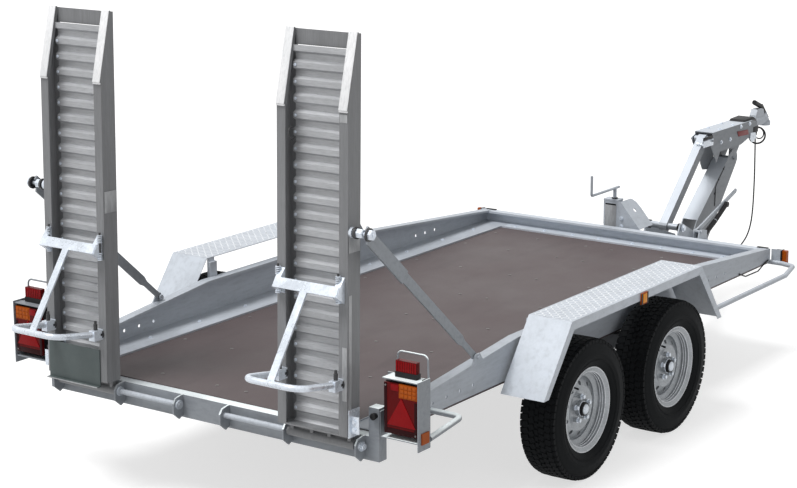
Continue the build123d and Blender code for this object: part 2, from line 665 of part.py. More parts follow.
def tail_indicators():
    """Amber pieces of the right side: the indicator, the side reflector and the mudguard's marker."""
    split = LAMP_X0 + 0.45 * (LAMP_X1 - LAMP_X0)
    amber = block(split, LAMP_X1 - 2, -14, 0, LAMP_Z1 - 62, LAMP_Z1 - 6)
    amber += block(LAMP_X1 + 8, LAMP_X1 + 13, 0, 50, CAGE_Z0 - 4, CAGE_Z0 + 42)
    amber += block(GUARD_X1, GUARD_X1 + 8, AXLE_MID_Y, AXLE_MID_Y + 60, GUARD_TOP - 58, GUARD_TOP - 6)
    return amber


def front_corner():
    """Tube from the front rail round the right corner to the mudguard, and the marker lamp's bracket on it."""
    z, y1 = SIDE_TUBE_Z, BODY_LEN
    slope = (GUARD_LOW_HALF - GUARD_TOP_HALF) / (GUARD_TOP - GUARD_LOW)
    end_y = AXLE_MID_Y + GUARD_LOW_HALF - (z - GUARD_LOW) * slope
    tube = bent_bar([(SIDE_TUBE_X, end_y - 12, z), (SIDE_TUBE_X, SIDE_TUBE_BEND_Y, z),
                     (SIDE_TUBE_X - 50, y1 - 15, z), (HALF_W + 60, y1 + 12, z), (HALF_W - 30, y1 + 12, z)],
                    SIDE_TUBE_D, 40)
    y2 = y1 + 12 + SIDE_TUBE_D / 2
    plate = block(MARKER_X0, MARKER_SPLIT_X, y2 - 1, y2 + 4, MARKER_Z0, MARKER_Z1)
    under_guard = prism_x(guard_line(0), GUARD_X0, GUARD_X1)
    return tube + plate - under_guard - front_rail() - side_rail()


def front_markers():
    """Marker lamp bodies on the front corner brackets."""
    y = BODY_LEN + 16 + SIDE_TUBE_D / 2
    return block(MARKER_X0 + 20, MARKER_SPLIT_X, y, y + MARKER_D, MARKER_Z0 + 10, MARKER_Z1 - 4)


def front_marker_lenses():
    y = BODY_LEN + 16 + SIDE_TUBE_D / 2
    return block(MARKER_SPLIT_X, MARKER_X1, y, y + MARKER_D, MARKER_Z0 + 10, MARKER_Z1 - 4)


def along(start, angle, length):
    """Point at a distance and an angle from a (y, z) point."""
    a = math.radians(angle)
    return start[0] + length * math.cos(a), start[1] + length * math.sin(a)


def link_shape(start, end, low_depth, high_depth):
    """Outline of a bar between two (y, z) pivots, wider at one end, with its far end rounded by short flats."""
    angle = math.atan2(end[1] - start[1], end[0] - start[0])
    ux, uz = math.cos(angle), math.sin(angle)

    def at(point, forward, side):
        return point[0] + ux * forward - uz * side, point[1] + uz * forward + ux * side

    outline = []
    for point, depth, first in ((start, low_depth, 90), (end, high_depth, -90)):
        for i in range(7):
            a = math.radians(first + i * 30)
            outline.append(at(point, depth / 2 * math.cos(a), depth / 2 * math.sin(a)))
    return outline


def arm_outline():
    """Side view of the main arm: round low end, deep belly just above it and a narrower round tip."""
    a = math.radians(LINK_ANGLE)

    def at(point, forward, side):
        return point[0] + math.cos(a) * forward - math.sin(a) * side, point[1] + math.sin(a) * forward + math.cos(a) * side

    def arc(point, radius, first):
        return [at(point, radius * math.cos(math.radians(t)), radius * math.sin(math.radians(t)))
                for t in range(first, first + 181, 30)]

    belly = [at(ARM_LOW, ARM_BELLY_AT, side * ARM_BELLY) for side in (1, -1)]
    return [belly[0]] + arc(ARM_LOW, ARM_END_R, 90) + [belly[1]] + arc(arm_high(), ARM_TIP_R, -90)


def arm_high():
    return along(ARM_LOW, LINK_ANGLE, LINK_LEN)


def link_high():
    return along(LINK_LOW, LINK_ANGLE, LINK_LEN)


def drawbar_arm():
    """Main arm: two webs and a top plate, open below, with the pivot tubes."""
    low, high = ARM_LOW, arm_high()
    half = ARM_W / 2
    arm = pair(prism_x(arm_outline(), half - ARM_T_WALL, half))
    a = math.radians(LINK_ANGLE)
    nx, nz = -math.sin(a), math.cos(a)
    p0, p1 = along(low, LINK_ANGLE, ARM_BELLY_AT), along(low, LINK_ANGLE, LINK_LEN - ARM_TOP_GAP)
    run = (LINK_LEN - ARM_TOP_GAP - ARM_BELLY_AT) / (LINK_LEN - ARM_BELLY_AT)
    tip = ARM_BELLY + (ARM_TIP_R - ARM_BELLY) * run
    t = ARM_T_WALL
    plate = [(p0[0] + nx * d, p0[1] + nz * d) for d in (ARM_BELLY - t, ARM_BELLY)]
    plate += [(p1[0] + nx * d, p1[1] + nz * d) for d in (tip, tip - t)]
    arm += prism_x(plate, -half + 1, half - 1)
    arm += x_rod(-CHEEK_X + 5, CHEEK_X - 5, *low, CROSS_TUBE_D + 14)
    arm -= x_rod(-CHEEK_X, CHEEK_X, *low, CROSS_TUBE_D - 8 + 2 * PIN_GAP)
    arm -= x_rod(-half - 2, half + 2, *high, 20 + 2 * PIN_GAP)
    return arm


def upper_link():
    """Upper link: a channel open below with a cross tube at each end."""
    low, high = LINK_LOW, link_high()
    half = LINK_W / 2
    bar = prism_x(link_shape(low, high, LINK_DEPTH, LINK_DEPTH), -half, half)
    a = math.radians(LINK_ANGLE)
    nx, nz = -math.sin(a), math.cos(a)
    p0, p1 = along(low, LINK_ANGLE, 46), along(high, LINK_ANGLE, -46)
    top, under = LINK_DEPTH / 2 - 5, -LINK_DEPTH
    hollow = [(p0[0] + nx * top, p0[1] + nz * top), (p1[0] + nx * top, p1[1] + nz * top),
              (p1[0] + nx * under, p1[1] + nz * under), (p0[0] + nx * under, p0[1] + nz * under)]
    bar -= prism_x(hollow, -half + 5, half - 5)
    link = bar + x_rod(-CROSS_TUBE_HALF, CROSS_TUBE_HALF, *low, CROSS_TUBE_D)
    link += x_rod(-HEAD_W / 2 + 10, HEAD_W / 2 - 10, *high, CROSS_TUBE_D)
    link -= x_rod(-CHEEK_X - 8, CHEEK_X + 8, *low, 18 + 2 * PIN_GAP)
    link -= x_rod(-HEAD_W, HEAD_W, *high, 18 + 2 * OPEN_PIN_GAP)
    return link


def drawbar_base():
    """Fixed front frame: two legs to the spines, the cheek plates with both lower pins, and the cross plate."""
    top = DECK_TOP - DECK_T - SPINE_H
    low = top - BASE_LEG_H
    x_out, x_in = SPINE_X - SPINE_W / 2, CHEEK_X + CHEEK_T + 26
    y0, y1 = BODY_LEN - BASE_LEG_BACK, ARM_LOW[0] - BASE_LEG_END
    leg = [(x_out - 25, y0), (x_out + 25, y0), (x_out + 25, BODY_LEN - 60), (x_in + 25, y1), (x_in - 26, y1),
           (x_in - 26, y1 - 60), (x_out - 25, BODY_LEN - 90)]
    base = pair(prism_z(leg, low, top))
    base += block(-SPINE_X, SPINE_X, BODY_LEN, BODY_LEN + 50, low, RAIL_TOP_FRONT - 24)
    base += block(-x_in - 8, x_in + 8, LINK_LOW[0] - 44, LINK_LOW[0] + 6, low, low + 60)
    cheek = [(LINK_LOW[0] - 79, low + 4), (ARM_LOW[0] + 22, low + 4), (ARM_LOW[0] + 34, ARM_LOW[1] - 14),
             (ARM_LOW[0] + 34, ARM_LOW[1] + 14), (ARM_LOW[0] + 14, ARM_LOW[1] + 34), (ARM_LOW[0] - 60, ARM_LOW[1] + 58),
             (LINK_LOW[0] + 30, LINK_LOW[1] + 14), (LINK_LOW[0] + 12, LINK_LOW[1] + 24),
             (LINK_LOW[0] - 20, LINK_LOW[1] + 24), (LINK_LOW[0] - 40, LINK_LOW[1] - 20)]
    base += pair(prism_x(cheek, CHEEK_X, CHEEK_X + CHEEK_T))
    base += x_rod(-CHEEK_X - 16, CHEEK_X + 16, *LINK_LOW, 18)
    base += x_rod(-CHEEK_X - 16, CHEEK_X + 16, *ARM_LOW, CROSS_TUBE_D - 8)
    return base


def head_channel():
    """Level head on top of the linkage: folded channel, rear cheeks, lugs for the arm and the upper link's pin."""
    half = HEAD_W / 2
    y0, y1 = HEAD_Y0, HEAD_Y1
    high, pin = arm_high(), link_high()
    side = [(y0, HEAD_Z1), (y1, HEAD_Z1), (y1 + 60, HEAD_Z1 - 14), (y1 + 60, HEAD_Z0 + 54), (y1 - 150, HEAD_Z0),
            (y0 + 102, HEAD_Z0), (y0 + 60, HEAD_Z0 - 62), (y0, HEAD_Z0 + 26), (pin[0] - 24, pin[1] - 12),
            (pin[0] - 24, pin[1] + 14), (y0, pin[1] + 26)]
    head = pair(prism_x(side, half - HEAD_T, half))
    head += block(-half, half, y0, y1, HEAD_Z1 - HEAD_T, HEAD_Z1)
    drop = [(y0 + 76, HEAD_Z0 + 20), (y0 + 76, HEAD_Z0 - 76), (y0 + 106, HEAD_Z0 - 122), (y0 + 176, HEAD_Z0 - 132),
            (y0 + 236, HEAD_Z0 - 92), (y0 + 256, HEAD_Z0 + 20)]
    head += prism_x(drop, -half, -half + HEAD_T)
    inner = ARM_W / 2 - ARM_T_WALL - 6
    lug = [(high[0] - 20, HEAD_Z0 + 20), (high[0] + 130, HEAD_Z0 + 20), (high[0] + 30, high[1] - 16),
           (high[0] + 12, high[1] - 30), (high[0] - 14, high[1] - 30), (high[0] - 28, high[1] - 12),
           (high[0] - 24, high[1] + 20)]
    head += pair(prism_x(lug, inner - 10, inner))
    head += block(-half + 1, half - 1, high[0] - 20, high[0] + 130, HEAD_Z0 + 14, HEAD_Z0 + 20)
    head += x_rod(-ARM_W / 2 - 12, ARM_W / 2 + 12, *high, 20)
    head += x_rod(-half - 14, half + 14, *pin, 18)
    return head


def drawtube():
    """Sliding tube of the overrun brake with its bellows and its guide collar."""
    y1 = HEAD_Y1
    tube = rod((0, y1 - 80, TONGUE_Z), (0, y1 + 170, TONGUE_Z), TONGUE_D)
    for i in range(5):
        tube += rod((0, y1 + 64 + i * 9, TONGUE_Z), (0, y1 + 69 + i * 9, TONGUE_Z), TONGUE_D + 20)
    inner = HEAD_W / 2 - HEAD_T
    tube += block(-inner, inner, y1 + 4, y1 + 56, TONGUE_Z - 36, TONGUE_Z + 34)
    return tube


def coupling():
    """Ball coupling: shank on the tube, upright housing, and the domed shell that is open below for the ball."""
    y0 = HEAD_Y1 + 118
    ball_z = TONGUE_Z - BALL_DROP
    housing = [(y0, TONGUE_Z), (BALL_Y - 30, TONGUE_Z), (BALL_Y - 58, TONGUE_Z + 66), (BALL_Y - 90, TONGUE_Z + 76),
               (y0 + 26, TONGUE_Z + 74), (y0 + 4, TONGUE_Z + 40)]
    shell = rod((0, y0, TONGUE_Z), (0, BALL_Y - 10, TONGUE_Z), TONGUE_D + 16)
    shell += prism_x(housing, -21, 21)
    shell += Pos(0, BALL_Y, ball_z + 6) * Sphere(BALL_D / 2 + 7)
    shell += rod((0, BALL_Y, ball_z - 18), (0, BALL_Y, ball_z + 8), BALL_D + 26)
    shell -= Pos(0, BALL_Y, ball_z + 6) * Sphere(BALL_D / 2 + 0.3)
    shell -= rod((0, BALL_Y, ball_z - 60), (0, BALL_Y, ball_z + 6), BALL_D + 0.6)
    shell -= rod((0, y0 - 1, TONGUE_Z), (0, HEAD_Y1 + 170, TONGUE_Z), TONGUE_D)
    return shell


def coupling_handle():
    """Lift handle: flat lever over the nose with a round grip that points back."""
    nose = (BALL_Y + 40, TONGUE_Z - 3)
    knee = (BALL_Y - 58, TONGUE_Z + 82)
    grip_end = (BALL_Y - 150, TONGUE_Z + 118)
    lever = [(BALL_Y - 8, TONGUE_Z + 15), nose, (nose[0] + 7, nose[1] + 4), (knee[0] + 12, knee[1] + 13),
             (knee[0] - 20, knee[1] + 6), (knee[0] - 6, knee[1] - 20)]
    handle = prism_x(lever, -8, 8) + rod((0, *knee), (0, *grip_end), 30)
    return handle - coupling()


def brake_lever():
    """Hand brake lever and the strut beside it, on a bracket on the right leg of the front frame."""
    x = CHEEK_X + CHEEK_T
    base = frame_low()
    y, z = LEVER_LOW
    tip_y, tip_z = LEVER_TIP
    half = LEVER_W / 2
    lever = prism_x([(y - 4, z + half), (y - 10, z), (y + 4, z - half), (tip_y - 6, tip_z - half),
                     (tip_y + 4, tip_z), (tip_y - 4, tip_z + half)], x + 9, x + 19)
    end = ARM_LOW[0] - BASE_LEG_END
    bracket = [(y - 32, base), (end, base), (end, base + 50), (y + 10, z + 12), (y - 14, z + 6)]
    lever += prism_x(bracket, x, x + 8) + prism_x(bracket, x + 34, x + 42)
    lever += x_rod(x, x + 50, y, z, 16) + x_rod(x, x + 42, end - 16, base + 14, 10)
    start = (x + 27, end - 12, base + 16)
    elbow = (x + 27, end + 138, base + 82)
    strut = rod(start, elbow, 26) + rod(elbow, (x + 27, tip_y - 148, tip_z - 55), 12)
    strut += x_rod(x + 17, x + 34, tip_y - 152, tip_z - 57, 14)
    return lever + strut


def brake_cable():
    """Brake cable in its sleeve, clipped along the right web of the main arm."""
    x = ARM_W / 2 + BRAKE_CABLE_D / 2 + CLIP_GAP
    y, z = ARM_LOW
    route = [(x, y + 333, z + 405), (x, y + 221, z + 305), (x, y + 216, z + 184)]
    return bent_bar(route, BRAKE_CABLE_D, 40)


def marker_cable():
    """Short cable under the front right corner, from the side rail's underside to the marker lamp."""
    x, y = HALF_W + MARKER_CABLE_D / 2 + CLIP_GAP, BODY_LEN
    route = [(x, y - 375, DECK_TOP + 6), (x, y - 300, DECK_TOP - 22), (x, y - 150, DECK_TOP - 24),
             (x, y - 70, DECK_TOP + 4), (x, y - 30, DECK_TOP + 12)]
    return bent_bar(route, MARKER_CABLE_D, 30)


def frame_low():
    """Height of the underside of the lengthwise channels, which is the top of the front frame's legs."""
    return DECK_TOP - DECK_T - SPINE_H


def jack_box(trim, z0, z1):
    """Box of the jack's section, smaller by a trim on each side."""
    return block(JACK_X - JACK_TUBE_X / 2 + trim, JACK_X + JACK_TUBE_X / 2 - trim,
                 JACK_Y - JACK_TUBE_Y / 2 + trim, JACK_Y + JACK_TUBE_Y / 2 - trim, z0, z1)


def jack_housing():
    """Outer tube of the jack with its lid, and the folded bracket that braces it to the front frame."""
    tube = jack_box(0, JACK_LOW, JACK_TOP) + jack_box(-2, JACK_TOP - 8, JACK_TOP)
    tube -= jack_box(JACK_WALL, JACK_LOW - 1, JACK_TOP - 24)
    x0, y0 = JACK_X + JACK_TUBE_X / 2, JACK_Y - JACK_TUBE_Y / 2
    tip = x0 + GUSSET_W
    gusset = [(x0, 395), (x0 + 190, 395), (x0 + 190, 470), (tip, 556), (x0 + 18, 700), (x0, 700)]
    tube += prism_y(gusset, y0, y0 + 5)
    slope = [(tip, 556), (x0 + 18, 700), (x0 + 14, 697), (tip - 4, 553)]
    far = y0 + GUSSET_DEEP
    rounded = [(y0, 540), (far, 540), (far, 650), (far - 8, 678), (far - 28, 696), (far - 48, 701), (y0, 701)]
    flap = prism_y(slope, y0, far) & prism_x(rounded, x0, tip + 5)
    hole_x, hole_y, hole_z = x0 + 66, y0 + GUSSET_DEEP / 2 + 6, 644
    flap -= rod((hole_x - 30, hole_y, hole_z - 26), (hole_x + 30, hole_y, hole_z + 26), GUSSET_HOLE_D)
    tube += flap
    tube += block(x0 + 6, x0 + 184, BODY_LEN + 50, y0 + 2, 400, 440)
    return tube


def jack_leg():
    """Inner leg with its foot plate on the ground."""
    leg = jack_box(JACK_WALL + JACK_CLEAR, FOOT_T, JACK_LOW + 100)
    leg += rod((JACK_X, JACK_Y, 0), (JACK_X, JACK_Y, FOOT_T), 2 * FOOT_R)
    return leg


def jack_crank():
    """Crank with its upright spindle, level arm and upright grip."""
    x, z = JACK_X + CRANK_OFF, JACK_TOP + CRANK_RISE
    spindle = rod((x, JACK_Y, JACK_TOP), (x, JACK_Y, z), CRANK_D + 6)
    arm = bent_bar([(x, JACK_Y + CRANK_TAIL, z), (x, JACK_Y - CRANK_REACH, z),
                    (x, JACK_Y - CRANK_REACH, z + CRANK_GRIP)], CRANK_D, 10)
    return spindle + arm


def number_plate():
    """Blank plate with a folded lower lip on the back of the left ramp."""
    back = RAMP_REAR_OFF
    z0, z1 = 25, 190
    plate = block(-PLATE_OUT, PLATE_IN, back - 5, back - 1, z0, z1)
    plate += block(-PLATE_OUT, PLATE_IN, back - 22, back - 1, z0, z0 + 4)
    for x in (-120, 120):
        plate += block(x - 10, x + 10, back - 2, back, z1 - 60, z1 - 20)
    return plate


def cable_radii(route):
    """Arc radius at each inner point: 0.45 of the shorter run over the tangent of half the turn."""
    radii = []
    for a, b, c in zip(route, route[1:], route[2:]):
        u, v = Vector(*b) - Vector(*a), Vector(*c) - Vector(*b)
        turn = math.radians(u.get_angle(v))
        radii.append(0.45 * min(u.length, v.length) / math.tan(turn / 2))
    return radii


def hanging_cable():
    path = FilletPolyline(*CABLE_ROUTE, radius=cable_radii(CABLE_ROUTE))
    tube = sweep(Plane(origin=path @ 0, z_dir=path % 0) * Circle(CABLE_D / 2), path=path)
    full = path.length * math.pi * CABLE_D ** 2 / 4
    print("cable length", round(path.length), "tube volume ratio", round(tube.volume / full, 4))
    print("cable radii", [round(r) for r in cable_radii(CABLE_ROUTE)])
    return tube


def cable_plug():
    """Round plug on the end of the hanging cable."""
    a, b = Vector(*CABLE_ROUTE[-2]), Vector(*CABLE_ROUTE[-1])
    way = (b - a).normalized()
    neck, face = b + way * 22, b + way * 78
    return rod(b, neck, 20) + rod(neck, face, 42)


def cable_clip():
    """Clip under the coupling's shank that the hanging cable leaves."""
    a, b = Vector(*CABLE_ROUTE[0]), Vector(*CABLE_ROUTE[1])
    way = (b - a).normalized()
    clip = rod(a, a - way * 20, 20)
    clip += block(a.X - 8, a.X + 8, a.Y - 12, a.Y + 8, a.Z + 12, TONGUE_Z)
    return clip - coupling() - drawtube()


def left(shape):
    return mirror(shape, about=Plane.YZ)


def build():
    nodes = {}
    rail = side_rail()
    nodes["side_rail_right"], nodes["side_rail_left"] = rail, left(rail)
    nodes["front_rail"] = front_rail()
    nodes["rear_beam"] = rear_beam()
    nodes["hinge_rods"] = hinge_rods()
    nodes["deck"] = deck()
    nodes["frame_spines"] = spines()
    nodes["cross_members"] = cross_members()
    nodes["axle_beams"] = axle_beams()
    guard = mudguard()
    nodes["mudguard_right"], nodes["mudguard_left"] = guard, left(guard)
    rim, rubber = wheel_rim(), tyre()
    for place, y in zip(("rear", "front"), wheel_ys()):
        right_place = Pos(WHEEL_X, y, TYRE_R)
        for side in ("right", "left"):
            name = f"{place}_{side}"
            turn = right_place if side == "right" else Pos(-WHEEL_X, y, TYRE_R) * Rot(0, 0, 180)
            nodes[f"wheel_{name}"] = turn * rim
            nodes[f"tyre_{name}"] = turn * rubber
    frame, treads, leg = ramp_place(ramp_frame()), ramp_place(ramp_treads()), ramp_place(ramp_leg())
    pin = ramp_place(ramp_side_pin())
    nodes["ramp_frame_right"], nodes["ramp_frame_left"] = frame, left(frame)
    nodes["ramp_treads_right"], nodes["ramp_treads_left"] = treads, left(treads)
    nodes["ramp_leg_right"], nodes["ramp_leg_left"] = leg, left(leg)
    nodes["ramp_pin_right"], nodes["ramp_pin_left"] = pin, left(pin)
    nodes["number_plate"] = left(ramp_place(number_plate()))
    bar = stay()
    nodes["stay_right"], nodes["stay_left"] = bar, left(bar)
    nodes["stay_lugs"] = pair(stay_lug())
    cage = lamp_cage()
    nodes["lamp_cage_right"], nodes["lamp_cage_left"] = cage, left(cage)
    nodes["tail_lamp_bodies"] = pair(tail_lamps())
    nodes["tail_lenses_red"] = pair(tail_lenses())
    nodes["tail_lenses_amber"] = pair(tail_indicators())
    nodes["front_corner_tubes"] = pair(front_corner())
    nodes["front_marker_bodies"] = pair(front_markers())
    nodes["front_marker_lenses"] = pair(front_marker_lenses())
    nodes["marker_cable"] = marker_cable()
    nodes["drawbar_base"] = drawbar_base()
    nodes["drawbar_arm"] = drawbar_arm()
    nodes["upper_link"] = upper_link()
    nodes["brake_cable"] = brake_cable()
    nodes["head_channel"] = head_channel()
    nodes["drawtube"] = drawtube()
    nodes["coupling"] = coupling()
    nodes["coupling_handle"] = coupling_handle()
    nodes["brake_lever"] = brake_lever()
    nodes["jack_housing"] = jack_housing()
    nodes["jack_leg"] = jack_leg()
    nodes["jack_crank"] = jack_crank()
    nodes["hanging_cable"] = hanging_cable()
    nodes["cable_plug"] = cable_plug()
    nodes["cable_clip"] = cable_clip()
    return nodes


def middle_y():
    """Middle of the trailer's length, from the support legs' feet to the coupling's front."""
    feet = ramp_place(ramp_leg()).bounding_box().min.Y
    front = max(coupling().bounding_box().max.Y, coupling_handle().bounding_box().max.Y)
    return (feet + front) / 2


def main():
    os.makedirs("parts", exist_ok=True)
    mid_y = middle_y()
    print("middle", round(mid_y, 3))
    for name, shape in build().items():
        export_step(Pos(0, -mid_y, 0) * shape, f"parts/{name}.step")


if __name__ == "__main__":
    main()
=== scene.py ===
import json
import math

import bmesh
import bpy
from bpy.props import FloatProperty, FloatVectorProperty, IntProperty, PointerProperty
from mathutils import Matrix, Vector


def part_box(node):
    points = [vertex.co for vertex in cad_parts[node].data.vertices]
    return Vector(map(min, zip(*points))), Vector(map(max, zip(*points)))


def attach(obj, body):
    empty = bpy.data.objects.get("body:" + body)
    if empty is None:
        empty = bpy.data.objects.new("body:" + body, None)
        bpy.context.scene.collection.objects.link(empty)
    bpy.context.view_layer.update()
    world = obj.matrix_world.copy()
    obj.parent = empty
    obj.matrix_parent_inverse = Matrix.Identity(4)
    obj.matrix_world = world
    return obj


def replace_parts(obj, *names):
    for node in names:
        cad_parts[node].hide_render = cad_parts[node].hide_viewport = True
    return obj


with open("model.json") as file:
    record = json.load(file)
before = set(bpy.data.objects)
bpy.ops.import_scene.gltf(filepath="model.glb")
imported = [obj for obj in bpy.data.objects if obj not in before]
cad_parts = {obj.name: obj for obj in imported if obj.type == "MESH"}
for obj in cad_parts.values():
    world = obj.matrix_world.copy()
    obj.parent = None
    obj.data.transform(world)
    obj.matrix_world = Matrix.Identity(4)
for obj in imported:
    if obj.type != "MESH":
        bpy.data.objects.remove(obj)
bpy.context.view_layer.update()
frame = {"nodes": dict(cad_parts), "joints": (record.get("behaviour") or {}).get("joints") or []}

bl_info = {
    "name": "Plant trailer dressing",
    "version": (1, 0, 0),
    "blender": (4, 5, 0),
    "location": "3D View > Sidebar > Trailer",
    "description": "Finishes and small parts of a tandem-axle plant trailer, on its packed CAD frame",
    "category": "Object",
}

NODES = frame["nodes"]
PIVOTS = {joint["name"]: Vector(joint["pos_m"]) for joint in frame["joints"] if joint.get("pos_m")}
# The rear beam's rear face, from which spot() and corners() count
BACK_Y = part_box("deck")[0].y - 0.050


def spot(x, y, z):
    """Point in the row frame, from millimetres counted from the rear face of the rear beam."""
    return Vector((x / 1000, BACK_Y + y / 1000, z / 1000))


def corners(node):
    """Lowest and highest corners of a node, in the same millimetres."""
    return [(corner.x * 1000, (corner.y - BACK_Y) * 1000, corner.z * 1000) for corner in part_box(node)]


DECK_TOP = corners("deck")[1][2]
RAIL_BOLT_SEAT = 516
TYRE_R = PIVOTS["wheel_rear_right_spin"].z * 1000
HINGE = PIVOTS["ramp_right_lower"]
HINGE_ROD_R = 12.3
# Hinge rods' collars and end nuts, in metres from the middle
HINGE_COLLARS_X = (0.836, 0.455, 0.118)
HINGE_NUT_X = 0.842
ARM_FOOT = PIVOTS["drawbar_arm_swing"]
LINK_FOOT = PIVOTS["upper_link_swing"]
# Ramp: its lean forward, half its width, its rails' width, its rear face behind the hinge, its planks and pin
RAMP_LEAN = math.radians(1.3)
RAMP_HALF_W = 174
RAMP_RAIL_W = 42
RAMP_BACK = -67
PLANK_LOW = 54
PLANK_PITCH = 66
PLANK_COUNT = 22
RAMP_PIN_Y = RAMP_BACK + 22
RAMP_PIN_Z = 872
# The ramp's leg: its two spring clamps
CLAMP_X = (-160, 138)
CLAMP_Y = RAMP_BACK - 13
# Mudguard: the level part of its top, and the face that carries its reflector
GUARD_LOW, GUARD_HIGH = corners("mudguard_right")
GUARD_X = (916, GUARD_HIGH[0])
GUARD_MID_Y = (GUARD_LOW[1] + GUARD_HIGH[1]) / 2
GUARD_HALF = 604
GUARD_TOP = GUARD_HIGH[2]
GUARD_LENS_X = 1141
LAMP_FRONT = corners("tail_lenses_red")[0][1]
FOG_FRONT = 22
HEAD_TOP = corners("head_channel")[1][2]
HEAD_SIDE = 59
WASHER_THICK = 1.6
# Floor, in metres: half its side, its grey and the glow that makes it pale
FLOOR_HALF = 60
FLOOR_GREY = 0.45
FLOOR_GLOW = 0.66


def ramp_spot(side, x, y, z):
    """Point on the right (1) or left (-1) ramp, from millimetres counted upright from its hinge."""
    c, s = math.cos(RAMP_LEAN), math.sin(RAMP_LEAN)
    ahead, up = y * c + z * s, z * c - y * s
    return Vector((side * (HINGE.x + x / 1000), HINGE.y + ahead / 1000, HINGE.z + up / 1000))


# Mesh building

def turned_ways(axis):
    """Unit axis and two unit ways square to it."""
    axis = Vector(axis).normalized()
    across = axis.orthogonal().normalized()
    return axis, across, axis.cross(across)


def round_points(centre, u, v, radius, count):
    """Points round a centre in the plane of two unit ways, with the radius in millimetres."""
    angles = (2 * math.pi * i / count for i in range(count))
    return [centre + (u * math.cos(a) + v * math.sin(a)) * (radius / 1000) for a in angles]


def mirrored(profile):
    """The (x, radius) points of a profile on the other side of its middle."""
    return [(-x, radius) for x, radius in profile]


class Shape:
    """A mesh that grows from turned, drawn and folded pieces, in the row frame."""

    def __init__(self):
        self.bm = bmesh.new()

    def loft(self, rings, wrap=False):
        """Skin through rings of the same number of points, with flat ends or wrapped round to the start."""
        made = [[self.bm.verts.new(p) for p in ring] for ring in rings]
        pairs = list(zip(made, made[1:]))
        if wrap:
            pairs.append((made[-1], made[0]))
        for a, b in pairs:
            count = len(a)
            for i in range(count):
                j = (i + 1) % count
                self.bm.faces.new((a[i], a[j], b[j], b[i]))
        if not wrap:
            self.bm.faces.new(list(reversed(made[0])))
            self.bm.faces.new(made[-1])

    def turned(self, origin, axis, profile, sides=24):
        """Turned piece: profile is (along the axis, radius) in millimetres."""
        axis, u, v = turned_ways(axis)
        self.loft([round_points(origin + axis * (along / 1000), u, v, max(radius, 0.02), sides)
                   for along, radius in profile])

    def collar(self, origin, axis, start, end, inner, outer, sides=24):
        """Plain collar on a pin, from start to end along the axis."""
        self.turned(origin, axis, [(start, inner), (start, outer), (end, outer), (end, inner)], sides)

    def ring(self, centre, axis, radius, thick, sides=40, around=10):
        """Round ring: radius of its centreline and thickness in millimetres."""
        axis, u, v = turned_ways(axis)
        rings = []
        for i in range(sides):
            a = 2 * math.pi * i / sides
            out = u * math.cos(a) + v * math.sin(a)
            rings.append(round_points(centre + out * (radius / 1000), out, axis, thick / 2, around))
        self.loft(rings, wrap=True)

    def wire(self, points, diameter, sides=10, smooth=4):
        """Round wire through points, eased between them."""
        path = eased(points, smooth)
        rings = []
        side = None
        for i, p in enumerate(path):
            way = (path[min(i + 1, len(path) - 1)] - path[max(i - 1, 0)]).normalized()
            if side is None:
                side = way.orthogonal().normalized()
            side = (side - way * side.dot(way)).normalized()
            rings.append(round_points(p, side, way.cross(side), diameter / 2, sides))
        self.loft(rings)

    def slab(self, outline, offset, bevel=0.0):
        """Plate from an outline of points, thickened by an offset vector, with its edges eased by a bevel."""
        low = [self.bm.verts.new(p) for p in outline]
        high = [self.bm.verts.new(p + offset) for p in outline]
        faces = [self.bm.faces.new(list(reversed(low))), self.bm.faces.new(high)]
        for i in range(len(low)):
            j = (i + 1) % len(low)
            faces.append(self.bm.faces.new((low[i], low[j], high[j], high[i])))
        if bevel:
            edges = list({e for f in faces for e in f.edges})
            bmesh.ops.bevel(self.bm, geom=edges, offset=bevel / 1000, segments=2, profile=0.6, affect="EDGES",
                            clamp_overlap=True)

    def side_plate(self, x, outline, thick, bevel):
        """Plate that stands square to X, from an outline of (y, z) and its thickness in millimetres."""
        self.slab([spot(x, y, z) for y, z in outline], Vector((thick / 1000, 0, 0)), bevel)

    def bar(self, low, high, bevel=1.0):
        """Bar with eased edges between two corners given in millimetres, with x in either order."""
        (x0, y0, z0), (x1, y1, z1) = low, high
        x0, x1 = sorted((x0, x1))
        self.slab([spot(x0, y0, z0), spot(x1, y0, z0), spot(x1, y1, z0), spot(x0, y1, z0)],
                  Vector((0, 0, (z1 - z0) / 1000)), bevel)

    def mesh(self, name):
        """Close the shape and give its mesh."""
        bmesh.ops.remove_doubles(self.bm, verts=self.bm.verts, dist=1e-6)
        bmesh.ops.recalc_face_normals(self.bm, faces=self.bm.faces)
        mesh = bpy.data.meshes.new(name)
        self.bm.to_mesh(mesh)
        self.bm.free()
        return mesh

    def done(self, name, body, slot, finish, flat_angle=40):
        """Hand the shape over as a piece on a body."""
        return piece(name, self.mesh(name), body, finish, flat_angle)


def eased(points, steps):
    """Points of a smooth curve through the given points, each run split into steps."""
    if steps <= 1 or len(points) < 3:
        return list(points)
    padded = [points[0] * 2 - points[1]] + list(points) + [points[-1] * 2 - points[-2]]
    path = []
    for a, b, c, d in zip(padded, padded[1:], padded[2:], padded[3:]):
        for k in range(steps):
            t = k / steps
            path.append(0.5 * ((2 * b) + (c - a) * t + (2 * a - 5 * b + 4 * c - d) * t * t
                               + (3 * b - a - 3 * c + d) * t ** 3))
    path.append(points[-1])
    return path


def piece(name, mesh, body, finish, flat_angle=40):
    """Object for a finished mesh, smooth except at its hard edges, on its body and with its material."""
    obj = bpy.data.objects.new(name, mesh)
    bpy.context.scene.collection.objects.link(obj)
    mesh.materials.clear()
    mesh.materials.append(bpy.data.materials[finish])
    mesh.shade_smooth()
    mesh.set_sharp_from_angle(angle=math.radians(flat_angle))
    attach(obj, body)
    return obj


# Node trees

